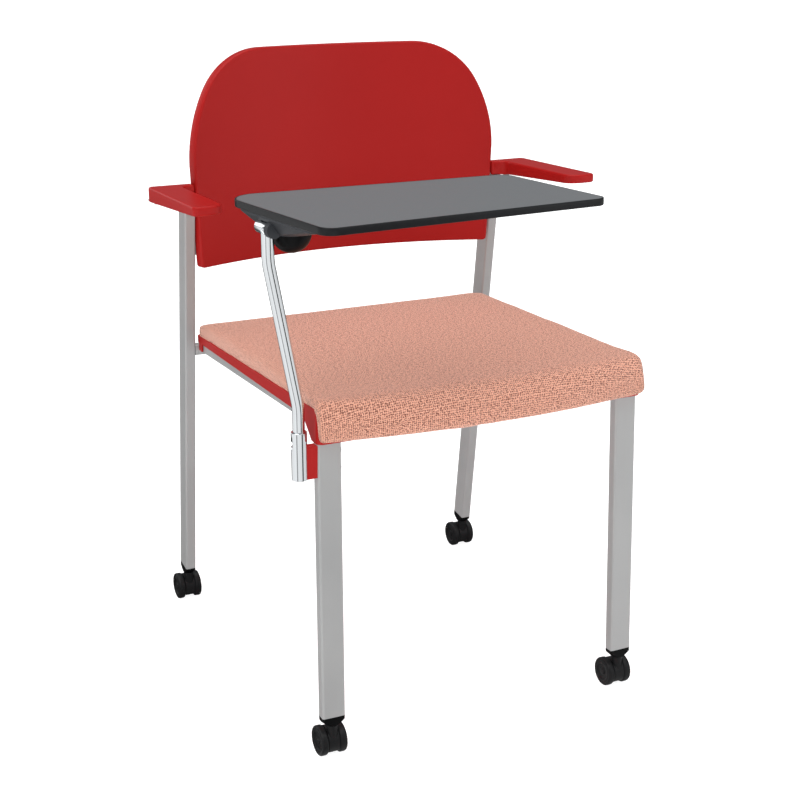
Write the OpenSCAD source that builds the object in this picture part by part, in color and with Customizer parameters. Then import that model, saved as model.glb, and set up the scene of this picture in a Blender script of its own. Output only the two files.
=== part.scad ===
// Tablet arm chair on four twin-wheel casters.
// A stacking-style frame of flat steel tube carries a moulded seat shell with an upholstered pad,
// a curved back panel between the rear legs and two cantilevered arms.
// A round post stands in a sleeve beside the front leg on the sitter's right. It turns in the
// sleeve, and the writing tablet tips up about a short cross tube on the top of the post.
// Frame: +X is the sitter's left, +Y points to the back panel, +Z is up, and the wheels stand on z = 0.

/* [Seat] */
// Outer width of the seat shell
shell_w = 444; // [400:1:500]
// Place of the front face of the shell, ahead of the working zero
shell_front = 226.5; // [200:0.5:250]
// Place of the rear face of the shell, behind the working zero
shell_rear = 227; // [200:1:250]
// Height of the seat rails' upper side at the working zero
seat_z = 434.4; // [420:0.2:450]
// Rise of the seat towards the front, in degrees
seat_slope = 3.05; // [1:0.05:4]
// Thickness of the shell's floor
floor_t = 4.5; // [3:0.5:6]
// Thickness of the shell's side skirt, outside the rails
skirt_t = 2.1; // [1.5:0.1:3]
// Thickness of the shell's front skirt
front_skirt_t = 5.5; // [4:0.5:6]
// Drop of the shell's lower front edge below the rails' height at the working zero
skirt_drop = 20.4; // [16:0.2:24]
// Drop of the side skirt below the rails' upper side at the rear
band_drop_rear = 0.5; // [0:0.5:3]
// Drop of the side skirt below the rails' upper side at the front
band_drop_front = 8; // [5:0.5:10]
// Rise of the side rim above the rails' upper side at the rear
band_rise_rear = 9; // [8:0.5:13]
// Rise of the side rim above the rails' upper side at the front
band_rise_front = 9.5; // [9:0.5:17]
// Thickness of the rim that stands round the pad
rim_t = 2.5; // [2:0.5:6]
// Radius of the shell's corners seen from above
shell_corner_r = 8; // [5:1:9]

/* [Seat pad] */
// Rise of the pad's upper edge above the rails' upper side at the rear
pad_rise_rear = 24; // [16:0.5:26]
// Rise of the pad's upper edge above the rails' upper side at the front
pad_rise_front = 16.5; // [14:0.5:22]
// Extra rise of the pad's crown in the middle
pad_crown = 4.5; // [2:0.5:8]
// Depth of the pad's front roll ahead of the shell, at the corners
roll_corner = 8; // [6:1:14]
// Extra depth of the front roll in the middle
roll_bow = 26; // [10:1:32]
// Radius of the roll's upper edge
roll_r = 22; // [14:1:26]
// How far the pad's seam is drawn in at its ends
pad_pull = 7; // [4:1:9]

/* [Frame tubes] */
// Long side of the flat tube's section
tube_w = 30; // [26:1:32]
// Short side of the flat tube's section
tube_d = 15; // [12:1:15]
// Wall of the flat tube
tube_wall = 1.5; // [1.2:0.1:2]
// Outer corner radius of the flat tube
tube_r = 2.5; // [1.8:0.1:3]
// Height of the legs' lower ends above the floor
leg_z = 57; // [55:1:64]
// Gap between the side rails and the shell's side skirts
rail_gap = 0.75; // [0.3:0.05:1.5]
// Inward lean of the front legs, in degrees
front_lean_x = 0.64; // [0.4:0.02:1.2]
// Gap between the front legs' upper ends and the shell's front skirt
leg_gap = 2.6; // [1:0.2:5]
// Backward lean of the front legs, in degrees
front_lean_y = 1.75; // [1.6:0.05:2.2]
// Gap between the rear legs and the shell's sides
rear_gap = 4.8; // [3:0.1:8]
// Distance of the rear legs' middle behind the shell, at the height of the rear cross rail
rear_off = 4.6; // [2:0.2:7]
// Forward lean of the rear legs, in degrees
rear_lean = 7.83; // [7:0.05:8.4]
// Section of the square rear cross rail
rear_rail_d = 15; // [12:1:18]
// Drop of the rear cross rail's upper side below the side rails' height at the working zero
rear_rail_drop = 15.9; // [15:0.1:18]
// Distance of the front cross rail behind the shell's front
front_rail_off = 50.5; // [40:0.5:70]

/* [Back panel] */
// Radius of the panel's hollow front face
back_r = 580; // [480:5:700]
// How far the panel's front face stands ahead of the rear legs' upper ends
back_ahead = 1.2; // [0:0.2:3]
// Thickness of the panel
back_t = 14; // [10:1:15]
// Gap between the panel's lower corners and the rear legs
back_inset = 4.3; // [4:0.1:8]
// How far the panel reaches out past the rear legs' inner faces above the arms
back_over = 1.2; // [0.6:0.1:2.4]
// Rise of the panel's lower edge above the rails' height at the working zero
back_rise = 100.2; // [80:0.2:120]
// Height of the panel
back_h = 289.2; // [260:0.2:330]
// Height of the panel's upper stretch, along which its sides curve inwards
back_side_h = 148; // [120:1:170]
// Radius of the panel's sides along that stretch
back_side_r = 199; // [180:1:300]
// Radius of the panel's upper corners
back_corner_r = 101; // [60:1:110]

/* [Arms] */
// Sideways gap between the arms' inner edges and the rear legs
arm_off = 4.7; // [3:0.1:10]
// Width of one arm
arm_w = 41; // [36:1:46]
// Length of the arms from front to back
arm_len = 202.4; // [160:0.2:220]
// Distance of the arms' rear faces behind the rear legs' middle
arm_back = 2.4; // [1:0.1:4]
// Thickness of the arm's rear part from front to back
arm_stub_d = 17; // [15:0.5:19]
// Rise of the arm's upper side at its rear above the rails' height at the working zero
arm_rise = 215.6; // [190:0.2:230]
// Extra rise of the arm's upper side at its tip
arm_tip_rise = 7; // [0:0.5:12]
// Thickness of the arm at its rear
arm_rear_t = 21; // [18:1:24]
// Thickness of the arm at its tip
arm_tip_t = 12; // [10:1:16]

/* [Casters] */
// Radius of the wheels
wheel_r = 19.4; // [18:0.1:20.5]
// Width of one wheel
wheel_w = 9.6; // [8:0.1:10.5]
// Spacing of the two wheels of a caster, middle to middle
wheel_pitch = 25; // [23:0.5:28]
// Distance of the axle behind the stem
trail = 9; // [4:0.5:12]
// Diameter of the caster's axle
axle_d = 5; // [4:0.5:6]
// Diameter of the caster's stem
stem_d = 8; // [7:0.5:9]

/* [Tablet post] */
// Distance of the sleeve's axis from the leg's outer face
sleeve_off = 20.2; // [17:0.2:26]
// Drop of the sleeve's lower end below the rails' height at the working zero
sleeve_drop = 63.4; // [58:0.2:75]
// Length of the sleeve
sleeve_len = 58.5; // [55:0.5:64]
// Outer diameter of the sleeve
sleeve_d = 19; // [18.5:0.1:20]
// Outer diameter of the post
post_d = 14.5; // [13:0.1:14.6]
// Wall of the post
post_wall = 1.5; // [1.2:0.1:2]
// Running clearance between the post and the sleeve, and between pins and bores
run_gap = 0.1; // [0.05:0.01:0.1]
// Length of the post above the sleeve before it bends
bend_off = 21.5; // [10:0.5:40]
// Sideways offset of the upper end of the post
bend_out = 34; // [31:0.5:36]
// Angle of the post's leaning stretch, in degrees
bend_angle = 11; // [10:0.5:14]
// Radius of the post's two bends
bend_r = 90; // [60:5:120]
// Rise of the cross tube, the axis about which the tablet tips, above the rails' height
pivot_rise = 237.6; // [228:0.2:260]
// Diameter of the cross tube
pivot_d = 15; // [15:0.5:16]
// Length of the cross tube behind the post
pivot_rear = 16; // [10:1:22]
// Length of the cross tube ahead of the post
pivot_front = 14; // [13:1:26]
// Diameter of the stop pin that rides in the sleeve's slot
pin_d = 4; // [3:0.5:4.5]
// Angle of the stop pin round the sleeve at rest, from +X, in degrees
pin_at = 107; // [104:1:110]
// Angle at which the sleeve's slot starts, from +X, in degrees
slot_from = 0.5; // [0:0.5:1]
// Angle at which the sleeve's slot ends, from +X, in degrees
slot_to = 193; // [190:1:196]
// Depth of the clamp block from front to back
block_d = 12; // [10:0.5:13]
// Length of the clamp block
block_len = 39.5; // [34:0.5:39.5]

/* [Tablet] */
// Turn of the tablet about the sleeve at rest, in degrees
tablet_turn = 9; // [0:1:12]
// Height of the tablet's upper side above the tipping axis
tablet_rise = 23.5; // [22.5:0.5:28]
// Thickness of the tablet
tablet_t = 8.5; // [8:0.5:10]
// Thickness of the edge band round the tablet
edge_t = 2; // [1.5:0.5:3]
// Distance of the tablet's outer edge beyond the tipping axis
tablet_out = 9; // [8:0.5:11]
// Distance of the tablet's inner edge from the tipping axis
tablet_in = 345; // [300:5:370]
// Rear reach of the tablet at its outer edge, from the post
outer_rear = 87; // [80:1:100]
// Front reach of the tablet at its outer edge, from the post
outer_front = 137; // [120:1:150]
// Rear reach of the tablet at its inner edge, from the post
inner_rear = 20; // [10:1:60]
// Front reach of the tablet at its inner edge, from the post
inner_front = 169; // [140:1:180]
// Radius of the tablet's two small corners
tablet_r = 18; // [12:1:26]
// Radius of the tablet's corner at the rear over the post
tablet_post_r = 32; // [12:1:40]
// Radius of the tablet's large corner, at the front over the sitter's lap
tablet_lap_r = 14; // [12:1:50]
// Radius of the round cover under the tablet
dome_r = 23; // [18:0.5:24]

/* [Hidden] */
$fn = 64;
// Overrun of every cut past the surface that it opens
cut = 1;
// Clearance between soft or curved solids and their neighbours
soft_gap = 0.3;
// Clearance round screws in their holes
hole_gap = 0.15;
// Long enough to reach past the whole chair
reach = 2000;

// A place in whole hundredths, so that the faces of neighbours that meet there agree
function tidy(v) = round(v * 100) / 100;

// Half sizes of the tube and the wheels that several pieces use
half_w = tube_w / 2;
half_d = tube_d / 2;
wheel_z = wheel_r;

// The heights that hang on the rails' height at the working zero
skirt_z = seat_z - skirt_drop;
rear_rail_z = seat_z - rear_rail_drop;
back_low_z = seat_z + back_rise;
back_top_z = back_low_z + back_h;
arm_rear_z = seat_z + arm_rise;
arm_tip_z = arm_rear_z + arm_tip_rise;
sleeve_z = seat_z - sleeve_drop;
bend_z = sleeve_z + sleeve_len + bend_off;
pivot_z = seat_z + pivot_rise;

// The rails' inner and outer faces, in line with the front legs where they meet
shell_half = shell_w / 2;
skirt_in = shell_half - skirt_t;
rim_in = shell_half - rim_t;
rail_out = skirt_in - rail_gap;
rail_x = rail_out - half_w;
rail_in = rail_x - half_w;
leg_run_front = seat_z + shell_front * tan(seat_slope) - leg_z;
front_x = tidy(rail_x + leg_run_front * tan(front_lean_x));
front_y = tidy(shell_front - front_skirt_t - leg_gap - half_d + leg_run_front * tan(front_lean_y));
front_rail_y = shell_front - front_rail_off;

// The rear legs' inner and outer faces, and the place of a leg's middle at a height
rear_in = shell_half + rear_gap;
rear_x = rear_in + half_d;
rear_out = rear_x + half_d;
rear_y = tidy(shell_rear + rear_off + (rear_rail_z - leg_z) * tan(rear_lean));
function rear_mid_y(z) = rear_y - (z - leg_z) * tan(rear_lean);

// The panel's widths, and half of its width at a height below its corners
back_low_w = 2 * (rear_in - back_inset);
back_w = 2 * (rear_in + back_over);
corner_z = back_top_z - back_side_h;
function panel_half(z) = (back_low_w + (back_w - back_low_w) * (z - back_low_z) / (corner_z - back_low_z)) / 2;

// Heights on the arm's two sides at a place along it
arm_low_z = arm_rear_z - arm_rear_t;
arm_rear_y = tidy(rear_mid_y(arm_low_z) + arm_back);
arm_tip_y = arm_rear_y - arm_len;
function arm_top(y) = arm_rear_z + (arm_tip_z - arm_rear_z) * (arm_rear_y - y) / arm_len;
function arm_low(y) = arm_top(y) - arm_rear_t + (arm_rear_t - arm_tip_t) * (arm_rear_y - y) / arm_len;
arm_in = rear_out + arm_off;
arm_out = arm_in + arm_w;
arm_gap = 0.4;
arm_inner_end = tidy(panel_half(arm_rear_z) + arm_gap);
arm_tip_r = 8;
arm_tip_in_r = 20;
arm_corner_r = 6;
arm_hollow_r = 14;

// The plate on each rear leg's upper end, sunk in the arm's underside
plate_t = 3;
plate_margin = 4;
plate_gap = 0.25;
plate_out = arm_out - plate_margin;
plate_front_y = arm_rear_y - arm_stub_d + plate_margin;
plate_rear_y = tidy(rear_mid_y(arm_low_z) + half_w / cos(rear_lean));

// The rear cross rail, in front of which the side rails end
rear_rail_y = tidy(rear_mid_y(rear_rail_z) - half_w + rear_rail_d / 2);
rear_rail_front = rear_rail_y - rear_rail_d / 2;

// Screws of the seat, the back, the arms, the clamp block and the tablet
screw_d = 5;
screw_head_d = 9;
screw_head_h = 3;
screw_socket_d = 4;
screw_socket_h = 1.6;
seat_screw_shares = [[1, 0.53], [1, -0.57], [-1, 0.53], [-1, -0.57]];
seat_screw_len = tube_d + floor_t - 1.5 * hole_gap;
lug_t = 3;
lug_h = 30;
lug_w = 36;
lug_rise_shares = [0.11, 0.29];
back_screw_len = lug_t + back_t * 0.7;
arm_screw_grip = 11;
arm_screw_len = plate_t + arm_screw_grip;
arm_screw_shares = [0.36, 0.82];
block_screw_inset = 9;
block_head_h = 1;
block_socket_h = 0.6;

// The swivel parts of a caster
wheel_gap = 0.6;
cap_low_r = 8;
cap_plug_len = 18;
cap_skirt_h = 3;
cap_drop = 12.1;
cap_low_z = leg_z - cap_drop;
cap_h = leg_z + half_w - cap_low_z;
cap_flare = (half_w + tube_r - cap_low_r) / (leg_z - cap_skirt_h - cap_low_z);
stem_top = leg_z + cap_plug_len * 0.7;
stem_bore_top = stem_top + 2 * soft_gap;
hood_z = cap_low_z - soft_gap;
hood_w = wheel_pitch - wheel_w - 2 * wheel_gap;
hood_r = wheel_r - 2.5 * wheel_gap;
hood_low_z = 8;
axle_len = wheel_pitch + wheel_w / 2;
wheel_bore_len = axle_len / 2 - wheel_pitch / 2 + wheel_w / 2 + wheel_gap;
wheel_round = 2.2;
wheel_dish_r_share = 0.62;
wheel_dish_depth = 1.6;

// The sleeve, its slot and the clamp block
sleeve_bore = post_d + 2 * run_gap;
sleeve_top = sleeve_z + sleeve_len;
sleeve_plug_h = 4;
slot_h = pin_d + 3;
slot_drop = 14.5;
slot_z = sleeve_top - slot_drop;
leg_face_z = sleeve_z + block_len / 2;
leg_face_x = front_x - (leg_face_z - leg_z) * tan(front_lean_x) + half_w;
sleeve_x = tidy(leg_face_x + sleeve_off);
sleeve_y = tidy(front_y - (leg_face_z - leg_z) * tan(front_lean_y));
post_low_z = sleeve_z + sleeve_plug_h;

// The post's centre line: straight, bend, lean, bend, straight
join = 1;
thinning = 0.1;
bend_rise = bend_r * sin(bend_angle);
bend_step = bend_r * (1 - cos(bend_angle));
lean_out = bend_out - 2 * bend_step;
lean_rise = lean_out / tan(bend_angle);
lean_len = lean_out / sin(bend_angle);
upper_z = bend_z + 2 * bend_rise + lean_rise;

// The tablet's outline about the tipping axis, with +X inward and the post at y = 0
tablet_top = pivot_z + tablet_rise;
tablet_low = tablet_top - tablet_t;
tablet_points = [
    [-tablet_out, -outer_front],
    [tablet_in, -inner_front],
    [tablet_in, inner_rear],
    [-tablet_out, outer_rear]
];
tablet_radii = [tablet_r, tablet_lap_r, tablet_r, tablet_post_r];

// The housing under the tablet's outer edge
housing_inset = 3;
housing_out = housing_inset - tablet_out;
housing_slab_h = 3;
housing_in = 125;
housing_front = 108;
housing_rear = 79;
housing_rear_in = 40;
housing_corner_r = 12;
housing_post_r = 28;
housing_low_z = pivot_z - 9;
housing_foot_t = 3;
cheek_t = 1;
boss_wall = 1.6;
boss_r = pivot_d / 2 + run_gap + boss_wall;
boss_end_t = 2.5;
post_gap = 1.2;
stop_gap = 0.15;
pivot_roof = pivot_z + pivot_d / 2 + post_gap;
dome_x = post_d / 2 + dome_r + cheek_t + post_gap;
dome_y = 4;
dome_flat_h = 2;
plug_t = 2;
tablet_screw_shares = [[0.32, 0.81], [0.32, 0.085], [0.9, 0.7], [0.9, 0.13]];
tablet_screw_len = 6;
tablet_screw_head = 7;
tablet_screw_d = 4;

// The working zero is a point of the floor under the seat, midway between the arms. The finished
// part is shifted from there so that the middle of its outer box lies over its own origin
function from_tablet(p) = [
    (p[0] - bend_out) * cos(tablet_turn) - p[1] * sin(tablet_turn) - sleeve_x,
    (p[0] - bend_out) * sin(tablet_turn) + p[1] * cos(tablet_turn) - sleeve_y
];
tablet_centres = [for (i = [0 : 3]) from_tablet(corner(tablet_points, i, tablet_radii[i]))];
box_front = min([for (i = [0 : 3]) tablet_centres[i][1] - tablet_radii[i]]);
box_rear = rear_mid_y(leg_z) + trail + wheel_r;
box_right = min(-arm_out, min([for (i = [0 : 3]) tablet_centres[i][0] - tablet_radii[i]]));
shift_x = tidy(-(arm_out + box_right) / 2);
shift_y = tidy(-(box_front + box_rear) / 2);

// Moves a piece from the working zero into the part's own frame
module place() {
    translate([shift_x, shift_y, 0]) children();
}

// Stands in the frame of the tablet post, on the sleeve's axis and turned as the tablet is
module post_frame() {
    place() translate([-sleeve_x, -sleeve_y, 0]) rotate([0, 0, tablet_turn]) children();
}

// Stands at the tipping axis, seen from the turned tablet, at the height of the floor
module pivot_frame() {
    post_frame() translate([-bend_out, 0, 0]) children();
}

// Stands on the rails' upper side, with y along the rails
module seat_frame() {
    place() translate([0, 0, seat_z]) rotate([-seat_slope, 0, 0]) children();
}

// A rectangle about the origin with round corners
module round_rect(w, d, r) {
    square([w - 2 * r, d], center = true);
    square([w, d - 2 * r], center = true);
    for (sx = [-1, 1])
        for (sy = [-1, 1])
            translate([sx * (w / 2 - r), sy * (d / 2 - r)]) circle(r);
}

// A length of the flat tube with its wide side along x
module flat_tube(len) {
    linear_extrude(len) difference() {
        round_rect(tube_w, tube_d, tube_r);
        round_rect(tube_w - 2 * tube_wall, tube_d - 2 * tube_wall, tube_r - tube_wall / 2);
    }
}

// The same length as a bar without its hollow, for cutting its neighbours to fit
module flat_bar(len) {
    linear_extrude(len) round_rect(tube_w, tube_d, tube_r);
}

// A socket screw whose head's seat is at the origin, with its shank towards +z
module screw(len, d = screw_d, head = screw_head_d, head_h = screw_head_h, socket_h = screw_socket_h) {
    cylinder(h = len, d = d);
    difference() {
        translate([0, 0, -head_h]) cylinder(h = head_h, d = head);
        translate([0, 0, -head_h - cut]) cylinder(h = socket_h + cut, d = screw_socket_d, $fn = 6);
    }
}

// The corner of an outline moved inwards by a distance. The outline goes round anticlockwise
function normal(a, b) = [-(b - a)[1], (b - a)[0]] / norm(b - a);
function before(points, i) = normal(points[(i + len(points) - 1) % len(points)], points[i]);
function after(points, i) = normal(points[i], points[(i + 1) % len(points)]);
function corner(points, i, gap) =
    let (n1 = before(points, i))
    let (n2 = after(points, i))
    points[i] + (n1 + n2) * gap / (1 + n1 * n2);
function inset(points, gap) = [for (i = [0 : len(points) - 1]) corner(points, i, gap)];

// An outline with round corners, each of its own radius
module rounded(points, radii, steps = $fn) {
    polygon([for (i = [0 : len(points) - 1])
        let (middle = corner(points, i, radii[i]))
        each [middle - radii[i] * before(points, i), middle - radii[i] * after(points, i)]]);
    for (i = [0 : len(points) - 1]) translate(corner(points, i, radii[i])) circle(radii[i], $fn = steps);
}

// Front legs: flat tubes with the wide side to the front, leaning in and back as they rise
module front_leg_frame(side) {
    place() translate([side * front_x, -front_y, leg_z])
        rotate([-front_lean_y, -side * front_lean_x, 0]) children();
}

module below_rails() {
    seat_frame() translate([-reach / 2, -reach / 2, -reach]) cube([reach, reach, reach]);
}

module front_leg(side) {
    color("silver") difference() {
        intersection() {
            front_leg_frame(side) flat_tube(reach / 4);
            below_rails();
        }
        block_holes(side);
    }
}

// The screws of the clamp block pass through the leg on the sitter's right
module block_holes(side) {
    if (side < 0)
        block_screw_frames() translate([0, 0, -cut]) cylinder(h = tube_w + 2 * cut, d = screw_d + 2 * hole_gap);
}

// Rear legs: flat tubes with the wide side fore and aft, raked back towards the floor
module rear_leg_frame(side) {
    place() translate([side * rear_x, rear_y, leg_z]) rotate([rear_lean, 0, 0]) rotate([0, 0, 90]) children();
}

module below_arms() {
    low = arm_tip_y - reach / 4;
    high = arm_rear_y + reach / 4;
    place() across(reach) polygon([[low, 0], [high, 0], [high, arm_low(high)], [low, arm_low(low)]]);
}

module rear_leg(side) {
    color("silver") intersection() {
        rear_leg_frame(side) flat_tube(reach / 2);
        below_arms();
    }
}

// Side rails: flat tubes under the shell, from the rear cross rail to the front leg
module side_rail(side) {
    color("silver") difference() {
        intersection() {
            seat_frame() translate([side * rail_x, reach / 4, -half_d])
                rotate([90, 0, 0]) flat_tube(reach / 2);
            place() translate([-reach / 2, -reach / 2, 0])
                cube([reach, reach / 2 + rear_rail_front, reach]);
            place() translate([-reach / 2, -front_y, 0]) cube([reach, reach, reach]);
        }
        front_leg_frame(side) flat_bar(reach / 4);
        place() translate([-reach / 2, -front_y - tube_d, 0]) cube([reach, tube_d + half_d, reach]);
        seat_screw_holes();
    }
}

// The front cross rail joins the side rails a little behind the front legs
module front_rail() {
    color("silver") seat_frame() translate([-rail_in, -front_rail_y, -half_d])
        rotate([90, 0, 90]) flat_square(2 * rail_in, tube_d);
}

// A length of square tube along +z
module flat_square(len, size) {
    linear_extrude(len) difference() {
        round_rect(size, size, tube_r);
        round_rect(size - 2 * tube_wall, size - 2 * tube_wall, tube_r - tube_wall / 2);
    }
}

// The rear cross rail joins the rear legs, and the side rails end on its front face
module rear_rail() {
    color("silver") place()
        translate([-rear_in, rear_rail_y, rear_rail_z - rear_rail_d / 2])
        rotate([90, 0, 90]) flat_square(2 * rear_in, rear_rail_d);
}

// The side view of the shell: a band along the rails that turns down at the front
function rails_z(y) = seat_z - y * tan(seat_slope);
function band_low(y) = rails_z(y) - band_drop_rear
    - (band_drop_front - band_drop_rear) * (shell_rear - y) / (shell_rear + shell_front);
function band_top(y) = rails_z(y) + band_rise_rear
    + (band_rise_front - band_rise_rear) * (shell_rear - y) / (shell_rear + shell_front);
corner_front_d = 20;
corner_slant = 26;
shell_nose_r = 10;

module shell_side() {
    polygon([
        [shell_rear, band_low(shell_rear)],
        [shell_rear, band_top(shell_rear)],
        [-shell_front + shell_nose_r, band_top(-shell_front)],
        [-shell_front, band_top(-shell_front) - shell_nose_r],
        [-shell_front, skirt_z],
        [-shell_front + corner_front_d, skirt_z],
        [-shell_front + corner_front_d + corner_slant, band_low(-shell_front + corner_front_d + corner_slant)]
    ]);
    translate([-shell_front + shell_nose_r, band_top(-shell_front) - shell_nose_r]) circle(shell_nose_r);
}

// Turns a side view, drawn as y and z, into a solid of a width about x = 0
module across(width) {
    rotate([90, 0, 90]) translate([0, 0, -width / 2]) linear_extrude(width) children();
}

ear_len = 12;
ear_drop = 12;
ear_front_y = rear_rail_front - ear_len - 1.5 * soft_gap;

module seat_shell() {
    color("firebrick") difference() {
        union() {
            intersection() {
                place() across(shell_w) shell_side();
                place() translate([0, (shell_rear - shell_front) / 2, 0])
                    linear_extrude(reach) round_rect(shell_w, shell_rear + shell_front, shell_corner_r);
            }
            for (side = [-1, 1])
                place() translate([side * (shell_half - skirt_t / 2) - skirt_t / 2, ear_front_y,
                    rails_z(ear_front_y) - ear_drop])
                    cube([skirt_t, ear_len, ear_drop]);
        }
        shell_under();
        shell_over();
        seat_screw_holes();
    }
}

// The hollow under the floor, open to the rear and below
module shell_under() {
    intersection() {
        below_rails();
        place() translate([-skirt_in, -shell_front + front_skirt_t, 0])
            cube([2 * skirt_in, reach, reach]);
    }
}

// The hollow over the floor in which the pad lies, open to the front and above
module shell_over() {
    intersection() {
        seat_frame() translate([-rim_in, -reach / 2, floor_t])
            cube([2 * rim_in, reach / 2 + shell_rear - skirt_t, reach / 4]);
        place() translate([-reach / 2, -reach / 2, 0]) cube([reach, reach, reach]);
    }
}

// Four screws hold the shell's floor down on the side rails
module seat_screw_frames() {
    for (s = seat_screw_shares)
        seat_frame() translate([s[0] * rail_x, s[1] * shell_rear, -tube_d]) children();
}

module seat_screw_holes() {
    seat_screw_frames() translate([0, 0, -cut])
        cylinder(h = tube_d + floor_t + 2 * cut, d = screw_d + 2 * hole_gap);
}

module seat_screws() {
    color("gray") seat_screw_frames() screw(seat_screw_len);
}

// The seat pad is built from side views, one at each of many stations across the seat.
// Each view is a closed line of points: along the underside, round the front roll and back
// over the top. Towards its ends the pad is drawn in, so that its seam lies at mid height.
pad_half = rim_in - soft_gap;
pad_rear_y = shell_rear - skirt_t - soft_gap - floor_t * tan(seat_slope) * 2;
pad_floor = floor_t + soft_gap;
pad_front_y = -shell_front - soft_gap;
pad_low_z = skirt_z + soft_gap;
pad_stations = 24;
pad_top_points = 14;
pad_arc_points = 8;
pad_rear_r = 6;
pad_lip_r = 6;
pad_end = 9;

// How far along the drawn-in end a place across the seat lies, from 0 inside to 1 at the end
function end_share(x) = max(0, (abs(x) - pad_half + pad_end) / pad_end);
function end_pull(x) = pad_pull * (1 - sqrt(max(0, 1 - pow(end_share(x), 2))));
function cross_share(x) = 1 - pow(abs(x) / pad_half, 2);

// Stations lie closer together towards the ends
function station(i) = pad_half * sin(-90 + 180 * i / pad_stations);
function pad_z(y, rise) = rails_z(y) + rise;
function pad_surface(x, y) =
    let (run = (pad_rear_y - y) / (pad_rear_y + shell_front))
    let (rise = pad_rise_rear + (pad_rise_front - pad_rise_rear) * run)
    pad_z(y, rise + pad_crown * cross_share(x) * sin(180 * min(1, max(0, run)))) - end_pull(x);
function roll_y(x) = pad_front_y - roll_corner - roll_bow * cross_share(x) + end_pull(x);

function pad_view(x) =
    let (e = end_pull(x))
    let (front = roll_y(x))
    let (low = pad_low_z + e)
    let (rear = pad_rear_y - e)
    let (lip = min(pad_lip_r, (pad_front_y - front) / 3))
    let (r = min(roll_r, pad_front_y - front + roll_r))
    let (nose_y = front + r)
    let (nose_z = pad_surface(x, nose_y) - r)
    let (top_rear = rear - pad_rear_r)
    let (rear_z = pad_surface(x, top_rear) - pad_rear_r)
    concat(
        [[rear, pad_z(rear, pad_floor)]],
        [[pad_front_y, pad_z(pad_front_y, pad_floor)]],
        [[pad_front_y, low]],
        [for (k = [0 : 2]) [front + lip - lip * sin(45 * k), low + lip - lip * cos(45 * k)]],
        [for (k = [0 : pad_arc_points])
            [nose_y - r * cos(90 * k / pad_arc_points), nose_z + r * sin(90 * k / pad_arc_points)]],
        [for (k = [1 : pad_top_points])
            let (y = nose_y + (top_rear - nose_y) * k / pad_top_points) [y, pad_surface(x, y)]],
        [for (k = [1 : 3])
            [top_rear + pad_rear_r * sin(30 * k), rear_z + pad_rear_r * cos(30 * k)]]
    );

module seat_cushion() {
    views = [for (i = [0 : pad_stations]) let (x = station(i)) [for (p = pad_view(x)) [x, p[0], p[1]]]];
    count = len(views[0]);
    points = [for (view = views) for (p = view) p];
    sides = [for (i = [0 : pad_stations - 1]) for (k = [0 : count - 1])
        let (a = i * count + k)
        let (b = i * count + (k + 1) % count)
        each [[a, b, b + count], [a, b + count, a + count]]];
    last = pad_stations * count;
    ends = [for (k = [2 : count - 1])
        let (next = (k + 1) % count)
        each [[1, next, k], [last + 1, last + k, last + next]]];
    color("darksalmon") place() polyhedron(points = points, faces = concat(sides, ends));
}

// The back panel is a slice of a drum, cut to its front view. Its front face passes the rear legs'
// inner faces a little ahead of the legs' upper ends
back_edge_y = rear_mid_y(arm_low_z) - half_w / cos(rear_lean) - back_ahead;
back_axis_y = back_edge_y - sqrt(pow(back_r, 2) - pow(rear_in, 2));

module drum_wall(inner, thickness) {
    place() translate([0, back_axis_y, 0]) difference() {
        cylinder(h = reach / 2, r = inner + thickness, $fn = 128);
        translate([0, 0, -cut]) cylinder(h = reach / 2 + 2 * cut, r = inner, $fn = 128);
    }
}

// Half of the panel's front view: a line that widens upwards, the long curve of the side, the corner
side_middle = [back_w / 2 - back_side_r, corner_z];
corner_rise = back_side_h - back_corner_r;
side_turn = asin(corner_rise / (back_side_r - back_corner_r));
corner_middle = side_middle + (back_side_r - back_corner_r) * [cos(side_turn), sin(side_turn)];
back_steps = 10;
back_half_points = concat(
    [[back_low_w / 2, back_low_z]],
    [for (k = [0 : back_steps - 1])
        let (turn = side_turn * k / back_steps) side_middle + back_side_r * [cos(turn), sin(turn)]],
    [for (k = [0 : back_steps])
        let (turn = side_turn + (90 - side_turn) * k / back_steps)
        corner_middle + back_corner_r * [cos(turn), sin(turn)]]
);

module back_view() {
    count = len(back_half_points);
    polygon(concat(back_half_points,
        [for (k = [1 : count]) [-back_half_points[count - k][0], back_half_points[count - k][1]]]));
}

// The wall's two upright edges are round, on the wall's middle line
back_mid_r = back_r + back_t / 2;
back_end_r = (back_t - thinning) / 2;
back_half_angle = asin((back_w - back_t) / 2 / back_mid_r);

module back_wall() {
    intersection() {
        drum_wall(back_r, back_t);
        place() translate([0, back_axis_y, 0]) linear_extrude(reach / 2)
            polygon([[0, 0], [-reach * tan(back_half_angle), reach], [reach * tan(back_half_angle), reach]]);
    }
    for (side = [-1, 1])
        place() translate([side * back_mid_r * sin(back_half_angle),
            back_axis_y + back_mid_r * cos(back_half_angle), 0]) cylinder(h = reach / 2, r = back_end_r);
}

module back_panel() {
    color("firebrick") difference() {
        intersection() {
            back_wall();
            place() translate([0, reach / 2, 0]) rotate([90, 0, 0]) linear_extrude(reach / 2) back_view();
        }
        back_screw_frames() translate([0, 0, -cut])
            cylinder(h = back_screw_len + cut + hole_gap, d = screw_d + 2 * hole_gap);
    }
}

// Four lugs reach from the rear legs' inner faces behind the panel, two on each side
lug_angle = asin((rear_in - lug_w / 2) / (back_r + back_t));
function lug_z(share) = back_low_z + share * (back_top_z - back_low_z);

module back_screw_frames() {
    for (side = [-1, 1])
        for (share = lug_rise_shares)
            place() translate([0, back_axis_y, lug_z(share)])
                rotate([0, 0, -side * lug_angle]) translate([0, back_r + back_t + lug_t, 0])
                rotate([90, 0, 0]) children();
}

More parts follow.
